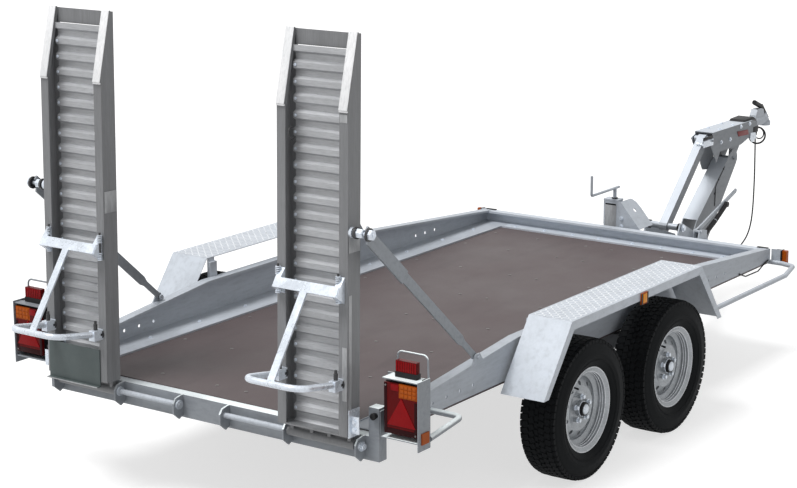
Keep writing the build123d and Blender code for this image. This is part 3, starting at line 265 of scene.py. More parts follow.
def put(tree, kind, inputs=None, **settings):
    """New node in a tree, whose inputs, by name or number, take a value or another node's output."""
    node = tree.nodes.new(kind)
    for label, value in settings.items():
        setattr(node, label, value)
    for label, value in (inputs or {}).items():
        if isinstance(value, bpy.types.NodeSocket):
            tree.links.new(value, node.inputs[label])
        else:
            node.inputs[label].default_value = value
    return node


def maths(tree, operation, *terms):
    """Output of a math node."""
    return put(tree, "ShaderNodeMath", dict(enumerate(terms)), operation=operation).outputs[0]


def vector(tree, **parts):
    """Output of a vector put together from X, Y and Z."""
    return put(tree, "ShaderNodeCombineXYZ", parts).outputs[0]


def add_inputs(tree, inputs):
    """Named inputs of (name, type, default) for a tree or group; gives the outputs of its input node."""
    for label, kind, default in inputs:
        socket = tree.interface.new_socket(label, in_out="INPUT", socket_type="NodeSocket" + kind)
        if default is not None:
            socket.default_value = default
    return put(tree, "NodeGroupInput").outputs


def new_tree(name, inputs):
    """Geometry tree that takes points and a material, and the outputs of its input node."""
    tree = bpy.data.node_groups.new(name, "GeometryNodeTree")
    given = add_inputs(tree, [("Geometry", "Geometry", None), *inputs, ("Material", "Material", None)])
    tree.interface.new_socket("Geometry", in_out="OUTPUT", socket_type="NodeSocketGeometry")
    return tree, given


def on_points(tree, points, instance, rotation):
    """A copy of the instance on every point."""
    return put(tree, "GeometryNodeInstanceOnPoints",
               {"Points": points, "Instance": instance, "Rotation": rotation}).outputs["Instances"]


def moved(tree, geometry, **places):
    """Geometry after a Translation or a Rotation."""
    return put(tree, "GeometryNodeTransform", {"Geometry": geometry, **places}).outputs["Geometry"]


def tree_ends(tree, geometry, given):
    """Finish a tree: make the instances real, give them the material and send them out."""
    real = put(tree, "GeometryNodeRealizeInstances", {"Geometry": geometry})
    coat = put(tree, "GeometryNodeSetMaterial", {
        "Geometry": real.outputs["Geometry"], "Material": given["Material"]})
    put(tree, "NodeGroupOutput", {0: coat.outputs["Geometry"]})
    return tree


def fastener_tree():
    """Bolts, nuts, screws and rivets: a washer and a head on every point, along one axis."""
    tree, given = new_tree("fasteners", [
        ("Head Radius", "Float", 0.008), ("Head Height", "Float", 0.006), ("Sides", "Int", 6),
        ("Washer Radius", "Float", 0.012), ("Washer Height", "Float", 0.002),
        ("Axis", "Vector", (0.0, 0.0, 1.0))])
    both = put(tree, "GeometryNodeJoinGeometry")
    for part, sides, start in (("Washer", 20, 0.0), ("Head", given["Sides"], given["Washer Height"])):
        height = given[part + " Height"]
        disc = put(tree, "GeometryNodeMeshCylinder",
                   {"Vertices": sides, "Radius": given[part + " Radius"], "Depth": height})
        level = maths(tree, "MULTIPLY_ADD", height, 0.5, start)
        lifted = moved(tree, disc.outputs["Mesh"], Translation=vector(tree, Z=level))
        tree.links.new(lifted, both.inputs["Geometry"])
    turn = put(tree, "FunctionNodeAlignRotationToVector", {"Vector": given["Axis"]}, axis="Z")
    placed = on_points(tree, given["Geometry"], both.outputs["Geometry"], turn.outputs["Rotation"])
    return tree_ends(tree, placed, given)


def tread_tree():
    """One row of slanted blocks round a tyre."""
    tree, given = new_tree("tread_blocks", [
        ("Blocks Round", "Int", 60), ("Radius", "Float", 0.316), ("Length", "Float", 0.026),
        ("Width", "Float", 0.026), ("Height", "Float", 0.008), ("Skew", "Float", 0.3),
        ("Phase", "Float", 0.0), ("Offset", "Vector", (0.0, 0.0, 0.0))])
    circle = put(tree, "GeometryNodeMeshCircle", {
        "Vertices": given["Blocks Round"], "Radius": given["Radius"]})
    spun = moved(tree, circle.outputs["Mesh"], Rotation=vector(tree, Z=given["Phase"]))
    upright = moved(tree, spun, Rotation=(0.0, math.pi / 2, 0.0))
    size = vector(tree, X=given["Width"], Y=given["Length"], Z=given["Height"])
    block = put(tree, "GeometryNodeMeshCube", {"Size": size})
    slanted = moved(tree, block.outputs["Mesh"], Rotation=vector(tree, Z=given["Skew"]))
    outward = put(tree, "GeometryNodeInputPosition").outputs[0]
    turn = put(tree, "FunctionNodeAlignRotationToVector", {"Vector": outward}, axis="Z")
    level = put(tree, "FunctionNodeAlignRotationToVector",
                {"Vector": (1.0, 0.0, 0.0), "Rotation": turn.outputs["Rotation"]}, axis="X", pivot_axis="Z")
    placed = on_points(tree, upright, slanted, level.outputs["Rotation"])
    return tree_ends(tree, moved(tree, placed, Translation=given["Offset"]), given)


def lozenge_tree():
    """Raised bars of chequer plate: a small bar on every point, all turned by one angle."""
    tree, given = new_tree("lozenges", [
        ("Length", "Float", 0.02), ("Width", "Float", 0.005), ("Height", "Float", 0.0012),
        ("Angle", "Float", 0.8)])
    size = vector(tree, X=given["Length"], Y=given["Width"], Z=given["Height"])
    bar = put(tree, "GeometryNodeMeshCube", {"Size": size})
    turn = vector(tree, Z=given["Angle"])
    return tree_ends(tree, on_points(tree, given["Geometry"], bar.outputs["Mesh"], turn), given)


TREES = {"fasteners": fastener_tree, "tread_blocks": tread_tree, "lozenges": lozenge_tree}


def made_by_tree(name, finish, values, points=((0, 0, 0),)):
    """Mesh that a geometry tree makes from these points and named values."""
    tree = bpy.data.node_groups.get(name) or TREES[name]()
    seed = bpy.data.meshes.new("seed")
    seed.from_pydata([tuple(p) for p in points], [], [])
    holder = bpy.data.objects.new("seed", seed)
    bpy.context.scene.collection.objects.link(holder)
    modifier = holder.modifiers.new("tree", "NODES")
    modifier.node_group = tree
    values = {**values, "Material": bpy.data.materials[finish]}
    for item in tree.interface.items_tree:
        if item.in_out == "INPUT" and item.name in values:
            modifier[item.identifier] = values[item.name]
    bpy.context.view_layer.update()
    graph = bpy.context.evaluated_depsgraph_get()
    mesh = bpy.data.meshes.new_from_object(holder.evaluated_get(graph), depsgraph=graph)
    bpy.data.objects.remove(holder)
    bpy.data.meshes.remove(seed)
    return mesh


def joined(name, meshes):
    """One mesh from several."""
    bm = bmesh.new()
    for mesh in meshes:
        bm.from_mesh(mesh)
        bpy.data.meshes.remove(mesh)
    one = bpy.data.meshes.new(name)
    bm.to_mesh(one)
    bm.free()
    return one


def fasteners(name, body, finish, groups):
    """Bolts in groups of (points, axis, head radius, height, sides, washer radius), in millimetres."""
    meshes = []
    for points, axis, radius, height, sides, washer in groups:
        meshes.append(made_by_tree("fasteners", finish, {
            "Head Radius": radius / 1000, "Head Height": height / 1000, "Sides": sides,
            "Washer Radius": washer / 1000, "Washer Height": WASHER_THICK / 1000,
            "Axis": tuple(float(a) for a in axis)}, points))
    return piece(name, joined(name, meshes), body, finish, 30)


# Shader groups, each of which gives one mask on object coordinates

def new_group(name, inputs):
    """Shader group with named inputs: the group, the outputs of its input node and the object coordinates."""
    group = bpy.data.node_groups.new(name, "ShaderNodeTree")
    given = add_inputs(group, inputs)
    group.interface.new_socket("Mask", in_out="OUTPUT", socket_type="NodeSocketFloat")
    return group, given, put(group, "ShaderNodeTexCoord").outputs["Object"]


def spread(tree, value, low, high, **ends):
    """Value stretched from low..high to 0..1, or to the ends To Min and To Max."""
    inputs = {"Value": value, "From Min": low, "From Max": high}
    inputs.update({label.replace("_", " "): end for label, end in ends.items()})
    return put(tree, "ShaderNodeMapRange", inputs).outputs["Result"]


def cloud_group():
    """Soft uneven patches: noise on coordinates stretched along each axis."""
    group, given, place = new_group("clouds", [
        ("Stretch", "Vector", (1.0, 1.0, 1.0)), ("Scale", "Float", 8.0), ("Low", "Float", 0.35),
        ("High", "Float", 0.65)])
    stretch = put(group, "ShaderNodeVectorMath", {0: place, 1: given["Stretch"]}, operation="MULTIPLY")
    noise = put(group, "ShaderNodeTexNoise", {
        "Vector": stretch.outputs[0], "Scale": given["Scale"], "Detail": 6.0, "Roughness": 0.6})
    put(group, "NodeGroupOutput", {"Mask": spread(group, noise.outputs["Fac"], given["Low"], given["High"])})


def spangle_group():
    """Zinc crystals of a galvanised skin: cells that each have their own shade."""
    group, given, place = new_group("spangle", [("Scale", "Float", 60.0), ("Warp", "Float", 0.02)])
    noise = put(group, "ShaderNodeTexNoise", {"Vector": place, "Scale": 22.0})
    size = vector(group, X=given["Warp"], Y=given["Warp"], Z=given["Warp"])
    warp = put(group, "ShaderNodeVectorMath", {0: noise.outputs["Color"], 1: size, 2: place},
               operation="MULTIPLY_ADD")
    cells = put(group, "ShaderNodeTexVoronoi", {
        "Vector": warp.outputs[0], "Scale": given["Scale"], "Randomness": 1.0})
    grey = put(group, "ShaderNodeSeparateColor", {"Color": cells.outputs["Color"]})
    put(group, "NodeGroupOutput", {"Mask": grey.outputs[0]})


def dust_and_top_light_group():
    """Dust that lies on what faces up, in patches; on the galvanised beam and bar the same mask paints light
    on the up-facing faces.
    """
    group, given, place = new_group("dust", [("Scale", "Float", 5.0), ("Amount", "Float", 0.5)])
    noise = put(group, "ShaderNodeTexNoise", {"Vector": place, "Scale": given["Scale"], "Detail": 8.0})
    normal = put(group, "ShaderNodeNewGeometry").outputs["Normal"]
    facing = put(group, "ShaderNodeSeparateXYZ", {0: normal})
    up = spread(group, facing.outputs["Z"], 0.2, 0.9)
    patch = spread(group, noise.outputs["Fac"], 0.42, 0.7)
    mask = maths(group, "MULTIPLY", maths(group, "MULTIPLY", up, patch), given["Amount"])
    put(group, "NodeGroupOutput", {"Mask": mask})


# Materials

def shade(colour, share):
    """Colour times a share, up to white."""
    return tuple(min(1.0, c * share) for c in colour)


class Finish:
    """One material: a Principled BSDF whose colour, roughness and bump are laid on step by step."""

    def __init__(self, name, colour, rough, metal=0.0, **plain):
        material = bpy.data.materials.new(name)
        material.use_nodes = True
        self.tree = material.node_tree
        self.bsdf = self.tree.nodes["Principled BSDF"]
        self.colour = (*colour, 1.0)
        self.relief = None
        plain.update(Base_Color=self.colour, Roughness=rough, Metallic=metal)
        for label, value in plain.items():
            self.bsdf.inputs[label.replace("_", " ")].default_value = value

    def group(self, name, **values):
        """Mask from a shared group placed with this material's own values."""
        node = put(self.tree, "ShaderNodeGroup", values, node_tree=bpy.data.node_groups[name])
        return node.outputs["Mask"]

    def tint(self, mask, colour, amount=1.0):
        """Lay a colour over the last one where the mask is."""
        if amount != 1.0:
            mask = maths(self.tree, "MULTIPLY", mask, amount)
        mix = put(self.tree, "ShaderNodeMix", {0: mask, 6: self.colour, 7: (*colour, 1.0)}, data_type="RGBA")
        self.colour = mix.outputs[2]
        self.tree.links.new(self.colour, self.bsdf.inputs["Base Color"])

    def roughen(self, mask, low, high):
        """Roughness that runs from low to high with the mask."""
        rough = spread(self.tree, mask, 0.0, 1.0, To_Min=low, To_Max=high)
        self.tree.links.new(rough, self.bsdf.inputs["Roughness"])

    def bump(self, mask, distance, strength=1.0):
        """Relief from a mask, with its distance in millimetres."""
        under = {} if self.relief is None else {"Normal": self.relief}
        node = put(self.tree, "ShaderNodeBump", {
            "Strength": strength, "Distance": distance / 1000, "Height": mask, **under})
        self.relief = node.outputs["Normal"]
        self.tree.links.new(self.relief, self.bsdf.inputs["Normal"])


def metal_finish(name, colour, rough, metal, light, dark, stretch=(1, 1, 1), scale=7.0, spangle=0.0):
    """Bare metal with soft patches, zinc crystals or rolling marks, and fine relief."""
    finish = Finish(name, colour, rough, metal)
    patches = finish.group("clouds", Stretch=tuple(float(s) for s in stretch), Scale=scale)
    finish.tint(patches, light)
    finer = tuple(3.0 * s for s in stretch)
    streaks = finish.group("clouds", Stretch=finer, Scale=scale * 3, Low=0.45, High=0.75)
    finish.tint(streaks, dark, 0.55)
    if spangle:
        crystals = finish.group("spangle", Scale=spangle)
        finish.tint(crystals, light, 0.35)
        finish.bump(crystals, 0.05, 0.4)
    finish.roughen(patches, rough - 0.08, rough + 0.1)
    finish.bump(streaks, 0.2, 0.5)
    return finish


def toned_metal(name, colour, shares, rough, metal, **patches):
    """Bare metal whose base, light patches and dark streaks are shares of one colour."""
    base, light, dark = (shade(colour, share) for share in shares)
    return metal_finish(name, base, rough, metal, light, dark, **patches)


def plastic_finish(name, colour, rough, light, relief=0.15, scale=60.0, **plain):
    """Moulded plastic or rubber with a fine grain and a little dust."""
    finish = Finish(name, colour, rough, 0.0, **plain)
    grain = finish.group("clouds", Scale=scale, Low=0.3, High=0.7)
    finish.tint(grain, light, 0.6)
    finish.tint(finish.group("dust", Scale=9.0, Amount=0.35), tuple(min(1.0, c * 1.6 + 0.02) for c in light))
    finish.roughen(grain, rough - 0.06, rough + 0.08)
    finish.bump(grain, relief, 0.5)


def lens_finish(name, colour, light):
    """Coloured lens with moulded prisms under a gloss skin."""
    finish = Finish(name, colour, 0.2, 0.0, Specular_IOR_Level=0.08)
    place = put(finish.tree, "ShaderNodeTexCoord").outputs["Object"]
    ribs = put(finish.tree, "ShaderNodeTexWave", {"Vector": place, "Scale": 60.0, "Distortion": 0.0},
               bands_direction="X").outputs["Fac"]
    finish.tint(ribs, light, 0.5)
    finish.tint(finish.group("clouds", Scale=26.0), light, 0.25)
    finish.bump(ribs, 0.5, 0.6)


def deck_finish(colour):
    """Film-faced plywood: dark brown film with a pressed mesh, dust patches, scuffs and pale specks."""
    finish = Finish("deck_film", colour, 0.55, 0.0, Specular_IOR_Level=0.25)
    patches = finish.group("clouds", Scale=1.6, Low=0.35, High=0.7)
    scuffs = finish.group("clouds", Stretch=(1.0, 0.25, 1.0), Scale=9.0, Low=0.5, High=0.75)
    scratches = finish.group("clouds", Stretch=(4.0, 0.5, 1.0), Scale=14.0, Low=0.6, High=0.78)
    specks = finish.group("clouds", Scale=24.0, Low=0.71, High=0.8)
    finish.tint(patches, tuple(c * 1.18 for c in colour), 0.8)
    finish.tint(scuffs, tuple(c * 0.78 for c in colour), 0.7)
    finish.tint(scratches, tuple(c * 1.45 for c in colour), 0.35)
    finish.tint(specks, (0.5, 0.48, 0.46), 0.5)
    place = put(finish.tree, "ShaderNodeTexCoord").outputs["Object"]
    mesh = put(finish.tree, "ShaderNodeTexChecker", {"Vector": place, "Scale": 220.0})
    finish.bump(mesh.outputs["Fac"], 0.15, 0.5)
    finish.roughen(patches, 0.42, 0.6)


def galvanised_finishes(zinc):
    """Hot-dip galvanised steel in lit and shaded copies of one zinc colour, from bright sheet to painted
    shade on the steel under the bed.
    """
    along = (1, 0.3, 1)
    across = (0.3, 1, 1)
    toned_metal("galvanised_steel", zinc, (1.0, 1.22, 0.72), 0.5, 0.12, spangle=55.0)
    toned_metal("galvanised_sheet", zinc, (1.18, 1.4, 0.85), 0.45, 0.15,
                stretch=(1, 0.4, 1), scale=5.0, spangle=40.0)
    toned_metal("galvanised_dark", zinc, (0.62, 0.8, 0.42), 0.5, 0.12, spangle=55.0)
    # Painted shade: a much darker copy of the zinc for the axle beams, spines and cross members under the
    # bed.
    toned_metal("galvanised_dull", zinc, (0.3, 0.45, 0.2), 0.6, 0.1, spangle=50.0)
    toned_metal("galvanised_rail", zinc, (1.0, 1.2, 0.75), 0.5, 0.12,
                stretch=(1, 0.3, 2), scale=5.0, spangle=55.0)
    # Painted reflection: a brighter copy of the zinc for the front rail, standing in for the sky that its web
    # and foot reflect.
    toned_metal("galvanised_front", zinc, (1.3, 1.5, 1.0), 0.5, 0.12,
                stretch=(0.3, 1, 2), scale=5.0, spangle=55.0)
    # Beam and bar: darker copies of the zinc. The pale tint from the dust mask on their up-facing faces is
    # painted light, which makes their tops lighter than their sides.
    for name, shares, stretch, top in (("galvanised_beam", (0.56, 0.72, 0.4), across, 2.3),
                                       ("galvanised_bar", (0.45, 0.6, 0.32), along, 1.35)):
        finish = toned_metal(name, zinc, shares, 0.5, 0.1, stretch=stretch, scale=6.0, spangle=50.0)
        finish.tint(finish.group("dust", Scale=0.4, Amount=3.0), shade(zinc, top))
    toned_metal("zinc_plate", zinc, (1.65, 2.0, 1.15), 0.3, 0.35, scale=12.0)


def other_metals(alu, wheel):
    """Mill aluminium of the ramps in lit and shaded copies, wheel paint, black paint and the bright or grey
    small parts.
    """
    upright = (2, 2, 0.4)
    # Painted shade: a darker copy of the aluminium for the ramp rails, so that their sides read dark.
    toned_metal("ramp_rail", alu, (0.74, 0.95, 0.58), 0.55, 0.15, stretch=(5, 5, 0.35), scale=5.0)
    # Painted light: a brighter copy of the aluminium for the treads, with light bands stretched across the
    # ramp as painted highlights.
    toned_metal("ramp_tread", alu, (1.45, 1.9, 1.0), 0.42, 0.25, stretch=(0.5, 5, 5), scale=6.0)
    toned_metal("wheel_paint", wheel, (1.0, 1.3, 0.6), 0.36, 0.35, scale=14.0)
    # Painted highlight: a near-white copy of the metal for the caps on the ramp rails' bevelled ends.
    metal_finish("ramp_bright", (0.86, 0.87, 0.88), 0.4, 0.1, (0.95, 0.95, 0.96), (0.6, 0.61, 0.62),
                 stretch=upright, scale=8.0)
    metal_finish("ramp_light", (0.34, 0.345, 0.355), 0.4, 0.15, (0.5, 0.51, 0.52), (0.24, 0.245, 0.25),
                 stretch=upright, scale=9.0)
    metal_finish("chequer_zinc", (0.72, 0.75, 0.79), 0.35, 0.2, (0.9, 0.92, 0.95), (0.6, 0.62, 0.65),
                 scale=9.0)
    # Painted highlight: the bright colour of the rings inside the wheel rims.
    metal_finish("rim_edge", (0.62, 0.64, 0.67), 0.3, 0.3, (0.75, 0.77, 0.8), (0.4, 0.42, 0.44), scale=12.0)
    metal_finish("screw_grey", (0.15, 0.14, 0.14), 0.45, 0.2, (0.28, 0.27, 0.26), (0.09, 0.085, 0.085),
                 scale=30.0)
    metal_finish("black_paint", (0.022, 0.022, 0.024), 0.42, 0.0, (0.045, 0.045, 0.047), (0.01, 0.01, 0.011),
                 scale=20.0)


def plastics_and_lenses(rubber):
    """Tyre rubber, black, red and grey mouldings, and the red and amber lenses."""
    plastic_finish("tyre_rubber", rubber, 0.75, (0.014, 0.015, 0.016), Specular_IOR_Level=0.1)
    plastic_finish("black_moulding", (0.008, 0.008, 0.009), 0.45, (0.016, 0.016, 0.018), 0.08, 90.0,
                   Specular_IOR_Level=0.2)
    plastic_finish("red_plastic", (0.16, 0.008, 0.01), 0.4, (0.24, 0.02, 0.02), 0.08, 70.0,
                   Specular_IOR_Level=0.3)
    plastic_finish("plate_grey", (0.075, 0.095, 0.095), 0.4, (0.1, 0.12, 0.12), 0.05, 30.0,
                   Specular_IOR_Level=0.3)
    lens_finish("red_prism", (0.085, 0.001, 0.0015), (0.15, 0.003, 0.004))
    # red_bright carries each tail lamp's painted highlight as well as its reflector triangle and fog ribs;
    # red_dark is painted shade along the lenses' sides and bottom.
    lens_finish("red_bright", (0.2, 0.002, 0.004), (0.34, 0.008, 0.01))
    lens_finish("red_dark", (0.018, 0.001, 0.002), (0.035, 0.002, 0.003))
    lens_finish("amber_prism", (0.3, 0.05, 0.003), (0.5, 0.11, 0.006))
    # Painted light: a much brighter copy of the amber lens for the mudguard reflectors' lit look.
    lens_finish("amber_glow", (0.8, 0.26, 0.015), (0.95, 0.4, 0.04))
    lens_finish("amber_bright", (0.36, 0.07, 0.008), (0.55, 0.13, 0.015))


def make_finishes():
    """Every material of the trailer, from the colours in the panel."""
    look = bpy.context.scene.trailer_finishes
    cloud_group()
    spangle_group()
    dust_and_top_light_group()
    galvanised_finishes(tuple(look.galvanised))
    other_metals(tuple(look.aluminium), tuple(look.wheel))
    plastics_and_lenses(tuple(look.rubber))
    deck_finish(tuple(look.deck))


# Finishes of the CAD nodes, by how their names start; the others are plain galvanised steel
NODE_FINISHES = {
    "tyre_rubber": ("tyre_",), "wheel_paint": ("wheel_",), "ramp_rail": ("ramp_frame",),
    "ramp_tread": ("ramp_treads",), "zinc_plate": ("ramp_leg", "ramp_pin"),
    "galvanised_dark": ("stay_right", "stay_left"),
    "galvanised_rail": ("side_rail",), "galvanised_front": ("front_rail",),
    "galvanised_beam": ("lamp_cage", "rear_beam"), "galvanised_sheet": ("mudguard", "jack_housing"),
    "galvanised_bar": ("head_channel", "drawbar_arm", "upper_link"), "deck_film": ("deck",),
    "galvanised_dull": ("axle_beams", "frame_spines", "cross_members"), "black_paint": ("drawtube",),
    "black_moulding": ("tail_lamp_bodies", "front_marker_bodies", "coupling_handle", "brake_cable",
                       "marker_cable", "cable_"),
    "red_prism": ("tail_lenses_red",), "amber_prism": ("tail_lenses_amber", "front_marker_lenses"),
    "plate_grey": ("number_plate",),
}


def finish_nodes():
    """Give each CAD node its material."""
    for name, obj in NODES.items():
        if not obj.material_slots:
            raise RuntimeError(f"{name} has no material slot")
        fitting = [finish for finish, starts in NODE_FINISHES.items() if name.startswith(starts)]
        finish = fitting[0] if fitting else "galvanised_steel"
        for slot in obj.material_slots:
            slot.material = bpy.data.materials[finish]


# Pieces

def hanging_cable(settings):
    """The free cable under the head, from its clip down to the plug."""
    route = [(15, 5196, 862), (15, 5199, 800), (15, 5203, 700), (15, 5206, 600), (14, 5206, 500),
             (13, 5203, 400), (11, 5190, 310), (8, 5155, 240), (3, 5098, 195), (-2, 5032, 166)]
    curve = bpy.data.curves.new("free_cable", "CURVE")
    curve.dimensions = "3D"
    line = curve.splines.new("NURBS")
    line.points.add(len(route) - 1)
    for point, place in zip(line.points, route):
        point.co = (*spot(*place), 1.0)
    line.order_u = 3
    line.use_endpoint_u = True
    line.resolution_u = 8
    curve.bevel_depth = settings.cable_diameter / 2
    curve.bevel_resolution = 4
    curve.use_fill_caps = True
    curve.materials.append(bpy.data.materials["black_moulding"])
    obj = bpy.data.objects.new("free_cable", curve)
    bpy.context.scene.collection.objects.link(obj)
    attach(obj, "head")
    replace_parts(obj, "hanging_cable")


def tyre_piece(name, node, centre, body, settings):
    """Tyre with its carcass, sidewall ribs and blocks of road tread."""
    groove = settings.groove_depth * 1000
    crown = TYRE_R - groove
    outside = [(66, 177), (76, 197), (82, 203), (90, 222), (94, 239), (94.5, 252), (93, 262), (91, 266),
               (88, 287), (83, crown - 14), (68, crown - 2), (40, crown)]
    inside = [(59, 200), (78, 242), (70, 280)]
    profile = (mirrored(outside) + [(0, crown + 0.5)] + outside[::-1]
               + inside + [(0, 292)] + mirrored(inside)[::-1])
    shape = Shape()
    sides = settings.tyre_sides
    rings = []
    for i in range(sides):
        a = 2 * math.pi * i / sides
        out = Vector((0, math.cos(a), math.sin(a)))
        rings.append([centre + Vector((x / 1000, 0, 0)) + out * (radius / 1000) for x, radius in profile])
    shape.loft(rings, wrap=True)
    for face_x, radius in ((93.2, 226), (94.2, 246)):
        for x in (face_x, -face_x):
            shape.ring(centre + Vector((x / 1000, 0, 0)), (1, 0, 0), radius, 2.2, sides, 6)
    meshes = [shape.mesh("carcass")]
    count = settings.tread_blocks
    pitch = 2 * math.pi * TYRE_R / count
    height = groove + 2.0
    level = TYRE_R - groove / 2 - 1.0
    shoulder = TYRE_R - 13.5
    # Rows of blocks: middle, width, length as a share of the pitch, height, radius, skew, phase in blocks
    rows = ((0, 18, 0.7, height, level, 0.0, 0.0), (-25, 25, 0.8, height, level, 0.35, 0.4),
            (25, 25, 0.8, height, level, -0.35, 0.7), (-54, 26, 0.84, height, level - 1.0, 0.22, 0.1),
            (54, 26, 0.84, height, level - 1.0, -0.22, 0.3),
            (-74.5, 20, 0.8, 14, shoulder, 0.0, 0.2), (74.5, 20, 0.8, 14, shoulder, 0.0, 0.2))
    for x, width, share, tall, radius, skew, phase in rows:
        meshes.append(made_by_tree("tread_blocks", "tyre_rubber", {
            "Blocks Round": count, "Radius": radius / 1000, "Length": pitch * share / 1000,
            "Width": width / 1000, "Height": tall / 1000, "Skew": skew, "Phase": phase * 2 * math.pi / count,
            "Offset": tuple(centre + Vector((x / 1000, 0, 0)))}))
    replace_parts(piece(name, joined(name, meshes), body, "tyre_rubber", 35), node)


def wheel_trim(name, centre, body):
    """Wheel nuts round the hub, the hub cap's dome and dark ring, and the valve, on the outer face."""
    out = Vector((math.copysign(1, centre.x), 0, 0))
    nut_seat, nut_circle, nut_count = 0.0415, 0.056, 5
    cap_seat, dark_ring_seat = 0.0605, 0.0465
    valve_place = Vector((0, -0.1, 0.125))
    nuts = [centre + out * nut_seat + Vector((0, math.cos(a), math.sin(a))) * nut_circle
            for a in (2 * math.pi * i / nut_count + math.pi / 2 for i in range(nut_count))]
    fasteners(name + "_nuts", body, "zinc_plate", [(nuts, out, 9.5, 13, 6, 13)])
    cap = Shape()
    cap.turned(centre + out * cap_seat, out, [(-1, 24), (0, 24.5), (5, 23), (9, 17), (10.5, 9), (11, 0)], 32)
    cap.ring(centre + out * 0.047, out, 33.5, 4, 40, 8)
    cap.done(name + "_cap", body, "wheel_silver", "zinc_plate", 50)
    ring = Shape()
    ring.turned(centre + out * dark_ring_seat, out, [(0, 27), (0, 32.5), (15.5, 30), (15.5, 27)], 40)
    ring.done(name + "_ring", body, "wheel_silver", "black_moulding", 50)
    valve = Shape()
    foot = centre + out * 0.062 + valve_place
    stem = [(-22, 4.2), (6, 4.2), (8, 4.8), (19, 4.8), (20.5, 3.4), (21, 0)]
    valve.turned(foot, out + Vector((0, 0.25, -0.3)), stem, 12)
    valve.done(name + "_valve", body, "wheel_silver", "black_moulding")


def wheel_rings(name, centre, body):
    """Steps round the inside of the rim's outer half, in a bright colour that is painted highlight."""
    out = Vector((math.copysign(1, centre.x), 0, 0))
    shape = Shape()
    for along, radius in ((74.0, 191.0), (63.0, 171.5), (51.0, 168.0), (40.0, 166.0)):
        shape.ring(centre + out * (along / 1000), out, radius, 5, 96, 8)
    shape.done(name, body, "wheel_silver", "rim_edge", 50)


def chequer_plate(name, side, settings):
    """Rows of raised bars on the mudguard's level top, turned to and fro."""
    pitch = settings.chequer_pitch * 1000
    side_margin, end_margin = 12, 16
    across = int((GUARD_X[1] - GUARD_X[0] - side_margin) // pitch)
    along = int((2 * GUARD_HALF - end_margin) // pitch)
    sets = {1: [], -1: []}
    for i in range(across):
        for j in range(along):
            x = (GUARD_X[0] + GUARD_X[1]) / 2 + (i - (across - 1) / 2) * pitch
            y = GUARD_MID_Y + (j - (along - 1) / 2) * pitch
            sets[1 if (i + j) % 2 else -1].append(spot(side * x, y, GUARD_TOP + 0.2))
    meshes = []
    for way, points in sets.items():
        meshes.append(made_by_tree("lozenges", "chequer_zinc", {
            "Length": pitch * 1.05 / 1000, "Width": pitch * 0.28 / 1000, "Height": 0.0018,
            "Angle": way * math.pi / 4}, points))
    piece(name, joined(name, meshes), "chassis", "chequer_zinc", 30)


def bed_fasteners():
    """Bolts along the front rail's foot, screws in the deck and bolts under the side rails' flanges."""
    up = (0, 0, 1)
    front_bolt_y, side_bolt_x = 3484, 812
    foot = [spot(x, front_bolt_y, RAIL_BOLT_SEAT) for x in (-650, -460, -273, -107, 109, 286, 480, 660)]
    fasteners("front_rail_bolts", "chassis", "zinc_plate", [(foot, up, 8, 6, 6, 13)])
    screws = [spot(side * x, y, DECK_TOP) for y in (170, 640, 1110, 1580, 2050, 2520, 2990, 3300)
              for x in (80, 390, 670) for side in (-1, 1)]
    fasteners("deck_screws", "chassis", "screw_grey", [(screws, up, 5, 0.8, 16, 8)])
    rail = [spot(side * side_bolt_x, y, RAIL_BOLT_SEAT)
            for y in (215, 560, 905, 1250, 1595, 1940, 2285, 2630, 2975, 3290) for side in (-1, 1)]
    fasteners("side_rail_bolts", "chassis", "zinc_plate", [(rail, up, 7, 5, 6, 11)])


